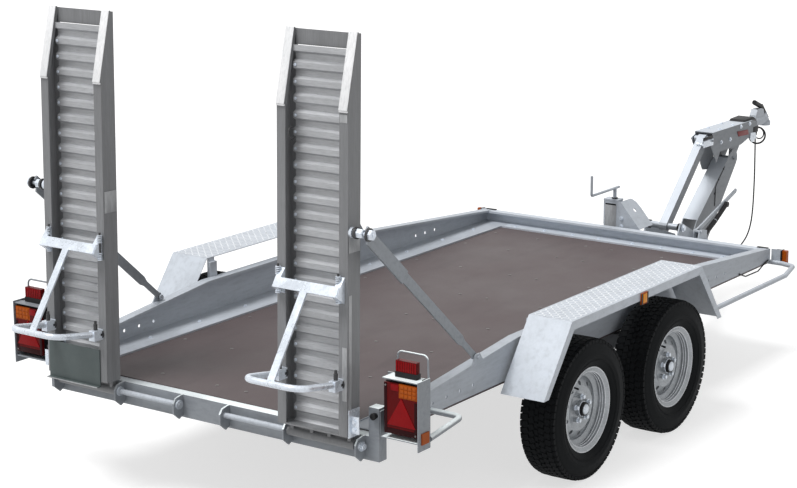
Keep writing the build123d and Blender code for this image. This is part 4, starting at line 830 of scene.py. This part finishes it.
class RampTrim:
    """The small parts of one ramp, each from millimetres counted upright from its hinge."""

    def __init__(self, name, body, side):
        self.name, self.body, self.side = name, body, side
        self.back = (self.at(0, -100, 0) - self.at(0, 0, 0)).normalized()
        self.up = (self.at(0, 0, 100) - self.at(0, 0, 0)).normalized()
        self.out = (self.at(100, 0, 0) - self.at(0, 0, 0)).normalized()

    def at(self, x, y, z):
        """Point on this ramp."""
        return ramp_spot(self.side, x, y, z)

    def across(self, x0, x1, low, high):
        """Outline across the ramp, between its (y, z) edges low and high."""
        return [self.at(x0, *low), self.at(x1, *low), self.at(x1, *high), self.at(x0, *high)]

    def along(self, x, y0, y1, z0, z1):
        """Outline on the ramp's flank."""
        return [self.at(x, y0, z0), self.at(x, y1, z0), self.at(x, y1, z1), self.at(x, y0, z1)]

    def caps(self):
        """Plates on the bevelled ends of both rails, with a lip under each, in a near-white that is painted
        highlight.
        """
        caps = Shape()
        lip = RAMP_BACK - 0.2
        bevel_low, bevel_high = (RAMP_BACK - 5.5, 1346), (RAMP_BACK + 60, 1641)
        for x0 in (-RAMP_HALF_W, RAMP_HALF_W - RAMP_RAIL_W):
            ends = (x0 + 0.5, x0 + RAMP_RAIL_W - 0.5)
            caps.slab(self.across(*ends, bevel_low, bevel_high), self.back * 0.003, 0.8)
            caps.slab(self.across(*ends, (lip, 1338), (lip, 1345)), self.back * 0.006, 0.8)
        caps.done(self.name + "_caps", self.body, "aluminium", "ramp_bright")

    def wear(self):
        """Worn bright strips of the right ramp, and the wall plate behind each stay's pin."""
        wear = Shape()
        wall = Vector((0.001, 0, 0))
        skin = RAMP_BACK - 0.2
        if self.side > 0:
            for x0, x1, z0, z1 in ((150, 172, 195, 412), (136, 170, 1298, 1330)):
                wear.slab(self.across(x0, x1, (skin, z0), (skin, z1)), self.back * 0.0012, 0.4)
            wear.slab(self.along(RAMP_HALF_W, RAMP_BACK + 8, RAMP_BACK + 26, 150, 620), wall * 1.2, 0.4)
        plate = self.along(self.side * RAMP_HALF_W, RAMP_BACK + 6, RAMP_BACK + 76, 790, 882)
        wear.slab(plate, wall * 3, 0.8)
        wear.done(self.name + "_wear", self.body, "aluminium", "ramp_light")

    def springs(self):
        """Short coil springs of the leg's clamps, and the stay pin's two hexagon knobs."""
        springs = Shape()
        coils, coil_pitch = 5, 7.2
        for x in CLAMP_X:
            for z in (668, 592):
                for i in range(coils):
                    place = self.at(x, CLAMP_Y, z) + self.up * (i * coil_pitch / 1000)
                    springs.ring(place, self.up, 9, 4.6, 20, 8)
        for x, knob in ((206, [(0, 9), (0, 20), (26, 20), (30, 16), (30, 9)]),
                        (264, [(0, 9), (0, 22), (14, 22), (17, 18), (17, 9)])):
            springs.turned(self.at(x, RAMP_PIN_Y, RAMP_PIN_Z), self.out, knob, 6)
        springs.done(self.name + "_springs", self.body, "zinc", "zinc_plate")

    def stop(self):
        """Folded stop on the outer rail's foot."""
        stop = Shape()
        for x0, x1, y0, y1, z0, z1 in ((174.3, 180, -62, 8, 44, 158), (176, 216, -46, -40, 62, 132)):
            stop.slab(self.across(x0, x1, (y0, z0), (y1, z0)), self.up * ((z1 - z0) / 1000), 1.2)
        stop.done(self.name + "_stop", self.body, "aluminium", "zinc_plate")

    def clamps(self):
        """Black clamps, spring guides and pin collars, and the right ramp's hook."""
        dark = Shape()
        for x in (-140, 140):
            dark.turned(self.at(x, RAMP_BACK, 263), self.back, [(0, 22), (7, 22), (7, 17), (16, 17)], 24)
            dark.turned(self.at(x, RAMP_BACK - 30, 285), self.up, [(0, 9), (26, 9), (26, 6), (40, 6)], 14)
        for x in CLAMP_X:
            dark.turned(self.at(x, CLAMP_Y, 609), self.up, [(0, 5), (100, 5)], 10)
        for x, thick, radius in ((196, 10, 24), (256, 8, 27)):
            dark.collar(self.at(x, RAMP_PIN_Y, RAMP_PIN_Z), self.out, 0, thick, 9, radius, 28)
        if self.side > 0:
            hook = ((-118, 34, 1252), (-120, 10, 1246), (-116, 6, 1222), (-112, 20, 1206), (-112, 34, 1212))
            dark.wire([self.at(x, RAMP_BACK + y, z) for x, y, z in hook], 8)
        dark.done(self.name + "_clamps", self.body, "zinc", "black_paint")

    def bolts(self):
        """Rivets at both ends of each plank, and the bolts of the clamps and of the stop."""
        rivet_x, rivet_y, rivet_up = 122, RAMP_BACK + 51, 55
        rivets = [self.at(x, rivet_y, PLANK_LOW + PLANK_PITCH * i + rivet_up) for x in (-rivet_x, rivet_x)
                  for i in range(PLANK_COUNT)]
        places = ((-26, RAMP_BACK - 35, 640), (26, RAMP_BACK - 35, 640), (0, RAMP_BACK - 190, 402),
                  (194, -46, 80), (194, -46, 112))
        bolts = [self.at(*place) for place in places]
        fasteners(self.name + "_bolts", self.body, "zinc_plate", [
            (rivets, self.back, 4.5, 3, 12, 7), (bolts, self.back, 8, 6, 6, 12)])


def number_plate_trim():
    """Pale folded edge of the blank number plate."""
    low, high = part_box("number_plate")
    front, top = low.y - 0.0006, low.z + 0.005
    edge = Shape()
    edge.slab([Vector((low.x, front, low.z)), Vector((high.x, front, low.z)), Vector((high.x, front, top)),
               Vector((low.x, front, top))], Vector((0, -0.0015, 0)), 0.3)
    edge.done("plate_edge", "ramp_l", "plate_white", "ramp_light")


def tail_lamp_trim(side):
    """Reflector triangle, a painted highlight, prisms, painted shade along the lens's sides and bottom, and
    screws on one tail lamp, and the ribs of its fog lens.
    """
    name = "right" if side > 0 else "left"

    def plate(shape, points, thick, front=LAMP_FRONT):
        shape.slab([spot(side * x, front, z) for x, z in points], Vector((0, -thick / 1000, 0)), 0.4)

    def pane(shape, x0, x1, z0, z1, thick, front=LAMP_FRONT):
        plate(shape, [(x0, z0), (x1, z0), (x1, z1), (x0, z1)], thick, front)

    bright = Shape()
    plate(bright, [(950, 582), (1086, 582), (1018, 698)], 2.2)
    # Painted highlight: a brighter red pane near the top of the lens.
    pane(bright, 968, 1006, 724, 750, 2.0)
    bright.done(f"lamp_reflector_{name}", "chassis", "red_lens", "red_bright")
    # Painted shade: darker red panes along the lens's left and right sides and its bottom.
    dark = Shape()
    pane(dark, 936, 950, 548, 752, 1.2)
    pane(dark, 1080, 1092, 548, 690, 1.2)
    pane(dark, 950, 1080, 548, 570, 1.0)
    dark.done(f"lamp_painted_shade_{name}", "chassis", "red_lens", "red_dark")
    cells = Shape()
    cell_w, cell_h, gap = 16, 14, 3
    for i in range(4):
        for j in range(3):
            x, z = 1014 + i * (cell_w + gap), 703 + j * (cell_h + gap)
            pane(cells, x, x + cell_w, z, z + cell_h, 2.0)
    cells.done(f"lamp_indicator_{name}", "chassis", "amber_lens", "amber_bright")
    fog = Shape()
    rib_w, rib_pitch = 7, 11
    for i in range(9):
        x = 968 + i * rib_pitch
        pane(fog, x, x + rib_w, 794, 836, 1.2, FOG_FRONT)
    fog.done(f"fog_ribs_{name}", "chassis", "red_lens", "red_bright")
    screws = [spot(side * x, LAMP_FRONT, z) for x, z in ((943, 742), (1086, 556))]
    rearward = (0, -1, 0)
    fasteners(f"lamp_screws_{name}", "chassis", "screw_grey", [(screws, rearward, 3, 2.4, 14, 4)])
    rubber = Shape()
    rubber.bar((side * 1085, 30, 770), (side * 1100, 52, 774))
    rubber.done(f"lamp_grommet_{name}", "chassis", "black_plastic", "black_moulding")


def head_trim():
    """Overrun head's cover, breakaway ring and wear marker, with the bolts, blocks and pins that show."""
    right = (1, 0, 0)
    cover = Shape()
    cover.side_plate(-50, [(4958, 978.5), (4974, 990), (5084, 994), (5112, 980), (5114, 966), (5064, 966),
                           (5060, 978.5)], 100, 3)
    cover.bar((-30, 5118, 893), (30, 5176, 924), 3)
    cover.ring(spot(44, 5160, 868), (0.6, -0.8, 0.15), 50, 11, 48, 10)
    cover.ring(spot(34, 5205, 874), (0.8, -0.5, 0.3), 34, 8, 40, 10)
    cover.bar((44, 5070, 896), (60, 5140, 934), 3)
    cover.bar((60, 4400, 948), (62, 4524, 966), 0.6)
    cover.done("head_cover", "head", "black_plastic", "black_moulding")
    red = Shape()
    red.side_plate(-9, [(5300, 968), (5346, 958), (5362, 934), (5318, 938)], 18, 2)
    red.side_plate(HEAD_SIDE + 0.5, [(4850, 938), (4992, 930), (5004, 898), (4866, 906)], 4, 1)
    red.done("wear_marker", "head", "red_lens", "red_plastic")
    metal = Shape()
    metal.ring(spot(12, 5352, 974), (1, 0.3, 0.2), 13, 3, 28, 8)
    metal.bar((61, 4404, 906), (63, 4530, 944), 0.8)
    metal.side_plate(HEAD_SIDE + 0.5, [(5030, 905), (5094, 898), (5112, 862), (5052, 842), (5022, 872)], 6, 1)
    metal.turned(spot(66, 4330, 940), right, [(-6, 13), (10, 13), (10, 8), (30, 8)], 16)
    metal.done("head_plates", "head", "zinc", "zinc_plate")
    top = [spot(x, y, HEAD_TOP) for y in (4660, 4835) for x in (-38, 38)]
    side_places = ((4640, 905), (4760, 905), (4900, 962), (5020, 962), (5066, 872))
    side = [spot(HEAD_SIDE, y, z) for y, z in side_places]
    fasteners("head_bolts", "head", "zinc_plate", [
        (top, (0, 0, 1), 9, 7, 6, 15), (side, right, 8, 6, 6, 13)])


def drawbar_trim():
    """Cable clips, pivot nuts and rings on the linkage, and the brake strut's dark sleeves."""
    right = (1, 0, 0)
    rings = Shape()
    link_side, nut_side = (0.090, -0.098), 0.120
    for x in link_side:
        rings.collar(LINK_FOOT + Vector((x, 0, 0)), right, 0, 8, 21, 25, 28)
    rings.done("link_rings", "link", "black_plastic", "black_moulding")
    sleeve = Shape()
    start, elbow, tip = (spot(139, y, z) for y, z in ((4288, 413), (4438, 479), (4574, 552)))
    run = elbow - start
    sleeve.collar(start + run * 0.12, run, 0, run.length * 800, 13.4, 15, 20)
    sleeve.collar(elbow, tip - elbow, -6, 146, 6.4, 14, 20)
    sleeve.collar(spot(126, 4570, 550), right, 0, 26, 12, 16, 20)
    sleeve.bar((112, 4236, 399), (122, 4300, 430), 1)
    sleeve.done("strut_sleeve", "chassis", "black_plastic", "black_moulding")
    nuts = [foot + Vector((nut_side, 0, 0)) for foot in (ARM_FOOT, LINK_FOOT)]
    fasteners("pivot_nuts", "chassis", "zinc_plate", [(nuts, right, 15, 10, 6, 22)])
    clips = Shape()
    clip_in, clip_out, clip_half = 49.2, 53.6, 6
    for y, z in ((4700, 733), (4640, 679), (4598, 600)):
        clips.bar((clip_in, y - clip_half, z - clip_half), (clip_out, y + clip_half, z + clip_half), 1)
    clips.done("cable_clips", "arm", "black_plastic", "black_moulding")


def jack_trim():
    """Pressed face, dark edge, lid ring and bolts of the jack."""
    face = Shape()
    face.bar((-168, 3660.4, 470), (-96, 3661.8, 676), 0.5)
    face.bar((-87.8, 3672, 560), (-86.4, 3712, 676), 0.5)
    face.done("jack_face", "chassis", "galvanised", "ramp_light")
    dark = Shape()
    dark.bar((-181, 3668, 560), (-176.5, 3700, 690), 1)
    dark.bar((-166, 3660, 676), (-98, 3661.6, 684), 0.4)
    dark.ring(spot(-124, 3692, 712), (0, 0, 1), 15, 6, 28, 8)
    dark.done("jack_dark", "chassis", "black_plastic", "black_moulding")
    bolts = [spot(-62, 3662, z) for z in (606, 560)]
    fasteners("jack_bolts", "chassis", "zinc_plate", [(bolts, (0, -1, 0), 8, 6, 6, 13)])


def corner_trim():
    """Mudguard reflectors, rubbers of the corners and posts, and the hinge rods' collars and nuts."""
    amber, dark, bright = Shape(), Shape(), Shape()
    lens = GUARD_LENS_X
    for side in (1, -1):
        # The mudguard reflectors' bright amber is painted light.
        amber.bar((side * lens, 1707, 722), (side * (lens + 2.4), 1742, 764), 0.5)
        dark.bar((side * 828, 3544, 578), (side * 890, 3562, 585), 1.5)
        dark.bar((side * 948, 3583, 500), (side * 956, 3618, 572), 1)
        for y in (1694, 1745):
            dark.bar((side * (lens + 0.2), y, 716), (side * (lens + 2), y + 10, 768), 0.5)
        dark.turned(spot(side * 884, 0, 600), (0, -1, 0), [(0, 11), (16, 14), (22, 14), (26, 9)], 24)
        for x in HINGE_COLLARS_X:
            bright.collar(Vector((side * x, HINGE.y, HINGE.z)), (side, 0, 0), 0, 5, HINGE_ROD_R, 20, 28)
    amber.done("guard_reflectors", "chassis", "amber_lens", "amber_glow")
    dark.done("corner_rubbers", "chassis", "black_plastic", "black_moulding")
    bright.done("hinge_collars", "chassis", "galvanised", "zinc_plate")
    nuts = [Vector((x, HINGE.y, HINGE.z)) for x in (HINGE_NUT_X, -HINGE_NUT_X)]
    fasteners("hinge_nuts", "chassis", "zinc_plate", [(nuts, (1, 0, 0), 13, 9, 6, 18)])


# Stage

def camera(stage):
    """Camera at the photograph's viewing angle."""
    yaw, pitch, roll = stage.camera_turn
    ahead = Vector((-math.sin(yaw) * math.cos(pitch), math.cos(yaw) * math.cos(pitch), -math.sin(pitch)))
    right = Vector((math.cos(yaw), math.sin(yaw), 0))
    up = right.cross(ahead)
    across = right * math.cos(roll) + up * math.sin(roll)
    upright = up * math.cos(roll) - right * math.sin(roll)
    data = bpy.data.cameras.new("camera")
    data.lens = stage.lens
    data.sensor_width = 36.0
    data.clip_end = 200.0
    obj = bpy.data.objects.new("camera", data)
    turn = Matrix((across, upright, -ahead)).transposed().to_4x4()
    obj.matrix_world = Matrix.Translation(Vector(stage.camera_place)) @ turn
    bpy.context.scene.collection.objects.link(obj)
    bpy.context.scene.camera = obj


def seen_mask(tree):
    """Mask that is 1 for what the camera, mirrors and glass see, and 0 for the light that falls on things."""
    path = put(tree, "ShaderNodeLightPath").outputs
    seen = maths(tree, "MAXIMUM", path["Is Camera Ray"], path["Is Glossy Ray"])
    return maths(tree, "MAXIMUM", seen, path["Is Transmission Ray"])


def lights(stage):
    """A soft sun over the rear left shoulder, a weak one from the right and an even pale world."""
    world = bpy.data.worlds.new("studio")
    bpy.context.scene.world = world
    world.use_nodes = True
    tree = world.node_tree
    back = tree.nodes["Background"]
    back.inputs["Color"].default_value = (1.0, 1.0, 1.0, 1.0)
    strength = spread(tree, seen_mask(tree), 0.0, 1.0, To_Min=stage.sky, To_Max=1.0)
    tree.links.new(strength, back.inputs["Strength"])
    for name, power, way, angle in (("key", stage.key, (0.22, 0.42, -1.0), 24.0),
                                    ("fill", stage.fill, (-0.8, 0.9, -0.5), 60.0)):
        data = bpy.data.lights.new(name, "SUN")
        data.energy = power
        data.angle = math.radians(angle)
        obj = bpy.data.objects.new(name, data)
        obj.rotation_mode = "QUATERNION"
        obj.rotation_quaternion = Vector(way).to_track_quat("-Z", "Y")
        bpy.context.scene.collection.objects.link(obj)


def floor():
    """Plain pale floor that keeps the trailer's shadow."""
    mesh = bpy.data.meshes.new("floor")
    places = [(x * FLOOR_HALF, y * FLOOR_HALF, 0) for x, y in ((-1, -1), (1, -1), (1, 1), (-1, 1))]
    mesh.from_pydata(places, [], [(0, 1, 2, 3)])
    obj = bpy.data.objects.new("floor", mesh)
    bpy.context.scene.collection.objects.link(obj)
    finish = Finish("floor_white", (FLOOR_GREY,) * 3, 0.9, Emission_Color=(1.0, 1.0, 1.0, 1.0))
    glow = maths(finish.tree, "MULTIPLY", seen_mask(finish.tree), FLOOR_GLOW)
    finish.tree.links.new(glow, finish.bsdf.inputs["Emission Strength"])
    mesh.materials.append(bpy.data.materials["floor_white"])


# Add-on classes

def colour_setting(name, about, default):
    """Colour property of the panel."""
    return FloatVectorProperty(name=name, description=about, default=default, size=3, subtype="COLOR",
                               min=0.0, max=1.0)


class TrailerFinishes(bpy.types.PropertyGroup):
    galvanised: colour_setting("Galvanised", "Colour of the hot-dip galvanised steel", (0.40, 0.43, 0.47))
    aluminium: colour_setting("Aluminium", "Colour of the ramps' mill aluminium", (0.27, 0.275, 0.285))
    deck: colour_setting("Deck", "Colour of the film on the plywood floor", (0.084, 0.066, 0.067))
    wheel: colour_setting("Wheels", "Colour of the silver wheels", (0.34, 0.36, 0.38))
    rubber: colour_setting("Rubber", "Colour of the tyres", (0.006, 0.007, 0.008))


class TrailerSizes(bpy.types.PropertyGroup):
    cable_diameter: FloatProperty(name="Cable", description="Diameter of the hanging cable", default=0.009,
                                  unit="LENGTH")
    groove_depth: FloatProperty(name="Groove depth", description="Depth of the tyre tread", default=0.006,
                                unit="LENGTH")
    tread_blocks: IntProperty(name="Tread blocks", description="Blocks round one row of tread", default=64,
                              min=8)
    tyre_sides: IntProperty(name="Tyre segments", description="Segments round a tyre", default=120, min=24)
    chequer_pitch: FloatProperty(name="Chequer pitch", default=0.022, unit="LENGTH",
                                 description="Distance between the raised bars of the chequer plate")


class TrailerStage(bpy.types.PropertyGroup):
    lens: FloatProperty(name="Lens", description="Focal length on a 36 mm sensor", default=92.28,
                        unit="CAMERA")
    camera_place: FloatVectorProperty(name="Camera place", description="Where the camera stands", size=3,
                                      default=(5.4124, BACK_Y - 6.2185, 3.1047), subtype="TRANSLATION",
                                      unit="LENGTH")
    camera_turn: FloatVectorProperty(name="Camera turn", size=3, default=(0.61732, 0.23103, -0.00464),
                                     description="Camera's yaw from +Y, pitch down and roll", unit="ROTATION")
    sky: FloatProperty(name="Sky", description="Light of the world on the trailer", default=0.42)
    key: FloatProperty(name="Key", description="Strength of the sun", default=2.6)
    fill: FloatProperty(name="Fill", description="Strength of the weak light from the right", default=0.15)


class TRAILER_OT_finishes(bpy.types.Operator):
    """Make the materials and put them on the CAD nodes"""
    bl_idname = "trailer.finishes"
    bl_label = "Finishes"

    def execute(self, context):
        make_finishes()
        finish_nodes()
        return {"FINISHED"}


class TRAILER_OT_stage(bpy.types.Operator):
    """Set up the floor, the light and the camera"""
    bl_idname = "trailer.stage"
    bl_label = "Stage"

    def execute(self, context):
        stage = context.scene.trailer_stage
        context.scene.view_settings.view_transform = "Standard"
        camera(stage)
        lights(stage)
        floor()
        return {"FINISHED"}


class TRAILER_OT_cable(bpy.types.Operator):
    """Hang the cable under the head"""
    bl_idname = "trailer.cable"
    bl_label = "Hanging cable"

    def execute(self, context):
        hanging_cable(context.scene.trailer_sizes)
        return {"FINISHED"}


class TRAILER_OT_wheels(bpy.types.Operator):
    """Tyres with road tread, wheel nuts, hub caps and valves"""
    bl_idname = "trailer.wheels"
    bl_label = "Wheels"

    def execute(self, context):
        for place in ("rear_right", "rear_left", "front_right", "front_left"):
            centre = PIVOTS[f"wheel_{place}_spin"]
            body = f"wheel_{place}_turning"
            tyre_piece(f"road_tyre_{place}", f"tyre_{place}", centre, body, context.scene.trailer_sizes)
            wheel_trim(f"hub_{place}", centre, body)
            wheel_rings(f"rim_rings_{place}", centre, body)
        return {"FINISHED"}


class TRAILER_OT_mudguards(bpy.types.Operator):
    """Chequer plate on the mudguards' tops"""
    bl_idname = "trailer.mudguards"
    bl_label = "Mudguards"

    def execute(self, context):
        chequer_plate("chequer_right", 1, context.scene.trailer_sizes)
        chequer_plate("chequer_left", -1, context.scene.trailer_sizes)
        return {"FINISHED"}


class TRAILER_OT_bed(bpy.types.Operator):
    """Bolts and screws of the bed, and the front corners' rubbers"""
    bl_idname = "trailer.bed"
    bl_label = "Bed fasteners"

    def execute(self, context):
        bed_fasteners()
        corner_trim()
        return {"FINISHED"}


class TRAILER_OT_ramps(bpy.types.Operator):
    """Caps, springs, bolts and wear strips of the ramps, and the number plate's edge"""
    bl_idname = "trailer.ramps"
    bl_label = "Ramp trim"

    def execute(self, context):
        for name, body, side in (("ramp_right", "ramp_r", 1), ("ramp_left", "ramp_l", -1)):
            trim = RampTrim(name, body, side)
            trim.caps()
            trim.wear()
            trim.springs()
            trim.stop()
            trim.clamps()
            trim.bolts()
        number_plate_trim()
        return {"FINISHED"}


class TRAILER_OT_lamps(bpy.types.Operator):
    """Reflectors, prisms, painted shade and painted highlights of the tail lamps"""
    bl_idname = "trailer.lamps"
    bl_label = "Tail lamps"

    def execute(self, context):
        tail_lamp_trim(1)
        tail_lamp_trim(-1)
        return {"FINISHED"}


class TRAILER_OT_drawbar(bpy.types.Operator):
    """Small parts of the head, the linkage and the jack"""
    bl_idname = "trailer.drawbar"
    bl_label = "Drawbar trim"

    def execute(self, context):
        head_trim()
        drawbar_trim()
        jack_trim()
        return {"FINISHED"}


class TRAILER_PT_panel(bpy.types.Panel):
    """The trailer's pieces and their sizes and colours"""
    bl_idname = "TRAILER_PT_panel"
    bl_label = "Trailer"
    bl_space_type = "VIEW_3D"
    bl_region_type = "UI"
    bl_category = "Trailer"

    def draw(self, context):
        layout = self.layout
        for name in ("trailer_finishes", "trailer_sizes", "trailer_stage"):
            group = getattr(context.scene, name)
            for key in type(group).__annotations__:
                layout.prop(group, key)
        for operator in OPERATORS:
            layout.operator(operator.bl_idname)


OPERATORS = (TRAILER_OT_finishes, TRAILER_OT_stage, TRAILER_OT_cable, TRAILER_OT_wheels, TRAILER_OT_mudguards,
             TRAILER_OT_bed, TRAILER_OT_ramps, TRAILER_OT_lamps, TRAILER_OT_drawbar)
GROUPS = (("trailer_finishes", TrailerFinishes), ("trailer_sizes", TrailerSizes),
          ("trailer_stage", TrailerStage))


def register():
    """Register the add-on's classes and its settings."""
    for name, group in GROUPS:
        bpy.utils.register_class(group)
        setattr(bpy.types.Scene, name, PointerProperty(type=group))
    for operator in OPERATORS:
        bpy.utils.register_class(operator)
    bpy.utils.register_class(TRAILER_PT_panel)


def unregister():
    """Take the classes and the settings away again."""
    bpy.utils.unregister_class(TRAILER_PT_panel)
    for operator in reversed(OPERATORS):
        bpy.utils.unregister_class(operator)
    for name, group in reversed(GROUPS):
        delattr(bpy.types.Scene, name)
        bpy.utils.unregister_class(group)


def main():
    """Build every piece in order."""
    register()
    for operator in OPERATORS:
        family, name = operator.bl_idname.split(".")
        if getattr(getattr(bpy.ops, family), name)() != {"FINISHED"}:
            raise RuntimeError(f"{operator.bl_idname} did not finish")


if __name__ == "__main__":
    main()
